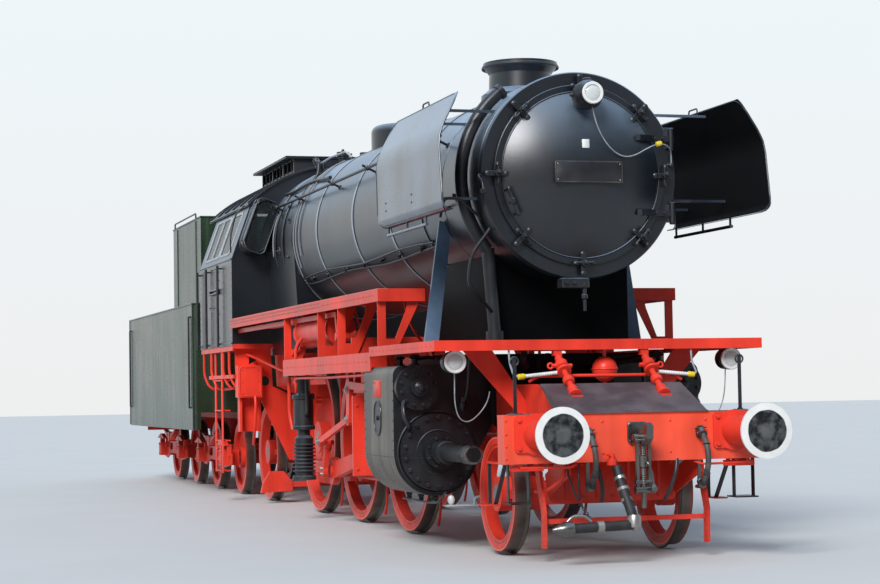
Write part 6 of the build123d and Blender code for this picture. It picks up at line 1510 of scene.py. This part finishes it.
def makeTender(s):
    beads = Shape()
    f, q, h = s["front"], s["rear"], s["half"]
    edge = [(f, h), (q, h), (q, -h), (f, -h)]
    path = [(x, y, s["top"] + 0.004) for x, y in edge]
    for a, c in zip(path, path[1:] + path[:1]):
        beads.swept([a, c], circle(0.014, 8), up=zAxis)
    b0, b1 = s["bunker"]
    ring = [(b1, 1.27, 4.03), (b0, 1.27, 4.03), (b0, -1.27, 4.03), (b1, -1.27, 4.03)]
    for a, c in zip(ring, ring[1:] + ring[:1]):
        beads.swept([a, c], circle(0.014, 8), up=zAxis)
    for side in sides:
        for x in (f - 0.004, q + 0.004):
            beads.swept([(x, side * h, 0.94), (x, side * h, s["top"])], circle(0.009, 8), up=xAxis)
        for x in (-4.05, -5.75):
            beads.bar((x, side * 1.275, 2.75), (x, side * 1.275, 4.0), 0.05, 0.014, yAxis)
    beads.make("tenderBeads", "tenderGreen", "tender")
    rails = Shape()
    for side in sides:
        for x, y in ((f - 0.20, side * 1.522), (q + 0.16, side * 1.522)):
            rails.pipe([(x, side * 1.497, 1.25), (x, y, 1.25), (x, y, 2.55), (x, side * 1.497, 2.55)],
                0.014, 0.03)
        rails.pipe(flip(side, [(q + 0.003, 1.10, 1.45), (q - 0.05, 1.10, 1.45), (q - 0.05, 1.10, 2.60),
            (q + 0.003, 1.10, 2.60)]), 0.014, 0.03)
        for y in (side * 0.62, side * 0.62 + 0.30):
            rails.bar((q - 0.06, y, 1.24), (q - 0.06, y, 2.70), 0.03, 0.012, xAxis)
            rails.bar((q - 0.06, y, 2.66), (q + 0.02, y, 2.70), 0.03, 0.012)
        for z in np.linspace(1.36, 2.56, 5):
            rails.swept([(q - 0.06, side * 0.62, z), (q - 0.06, side * 0.62 + 0.30, z)], circle(0.011, 8))
        rails.pipe(flip(side, [(b1 - 0.3, 1.29, 4.03), (b1 - 0.3, 1.29, 4.10), (b0 + 0.3, 1.29, 4.10),
            (b0 + 0.3, 1.29, 4.03)]), 0.012, 0.04)
    rails.pipe([(-7.30, -0.16, 2.845), (-7.30, -0.16, 2.90), (-7.30, 0.16, 2.90), (-7.30, 0.16, 2.845)],
        0.011, 0.03)
    rails.make("tenderRails", "fittingBlack", "tender")
    makeCoupling("rearScrew", -engine["beam"], -1, "tender")
    rear = Shape()
    for side in sides:
        spots = [(-beamSet["face"], side * engine["bufferHalf"] + a, engine["bufferHigh"] + c)
            for a in (-0.155, 0.155) for c in (-0.115, 0.115)]
        rear.heads(spots, (-1, 0, 0), 0.019, 0.02)
        rear.pipe(flip(side, [(-10.02, 0.45, 1.00), (-10.10, 0.45, 0.99), (-10.16, 0.45, 0.90),
            (-10.17, 0.45, 0.75), (-10.12, 0.45, 0.64), (-10.03, 0.45, 0.62)]), 0.022, 0.08)
        sill = np.linspace((-9.8, side * 1.1505, 1.10), (-2.7, side * 1.1505, 1.10), 44)
        rear.heads(sill, (0, side, 0), 0.011, 0.007, 8, True)
    hook = roundRect(-0.03, 0.03, 0.97, 1.15, 0.02)
    rear.slab(hook, "x", -10.22, -10.01, 0.008)
    rear.make("rearFittings", "frameRed", "tender")
    for name, axles in (("bogie_front", engine["tender"][:2]), ("bogie_rear", engine["tender"][2:])):
        trim = Shape()
        for x in axles:
            for side in sides:
                face = [(x + a, side * 1.11, 0.528 + c) for a in (-0.07, 0.07) for c in (-0.08, 0.08)]
                trim.heads(face, (0, side, 0), 0.013, 0.012)
                trim.hoop((x, side * 1.108, 0.528), yAxis, 0.062, 0.007, 28)
        middle = (axles[0] + axles[1]) / 2
        for side in sides:
            for k in range(6):
                half, z = 0.56 - 0.075 * k, 0.80 - 0.022 * k
                curve = [(middle + a * half, side * 1.065, z + 0.05 * a * a)
                    for a in np.linspace(-1, 1, 9)]
                trim.swept(curve, rect(-0.040, 0.040, -0.008, 0.008, 0.003), up=zAxis)
            trim.block((middle - 0.05, side * 1.065 - 0.048, 0.67),
                (middle + 0.05, side * 1.065 + 0.048, 0.83))
        trim.make(f"{name}Trim", "frameRed", name)


makeTender(tenderSet)
print("tender done")
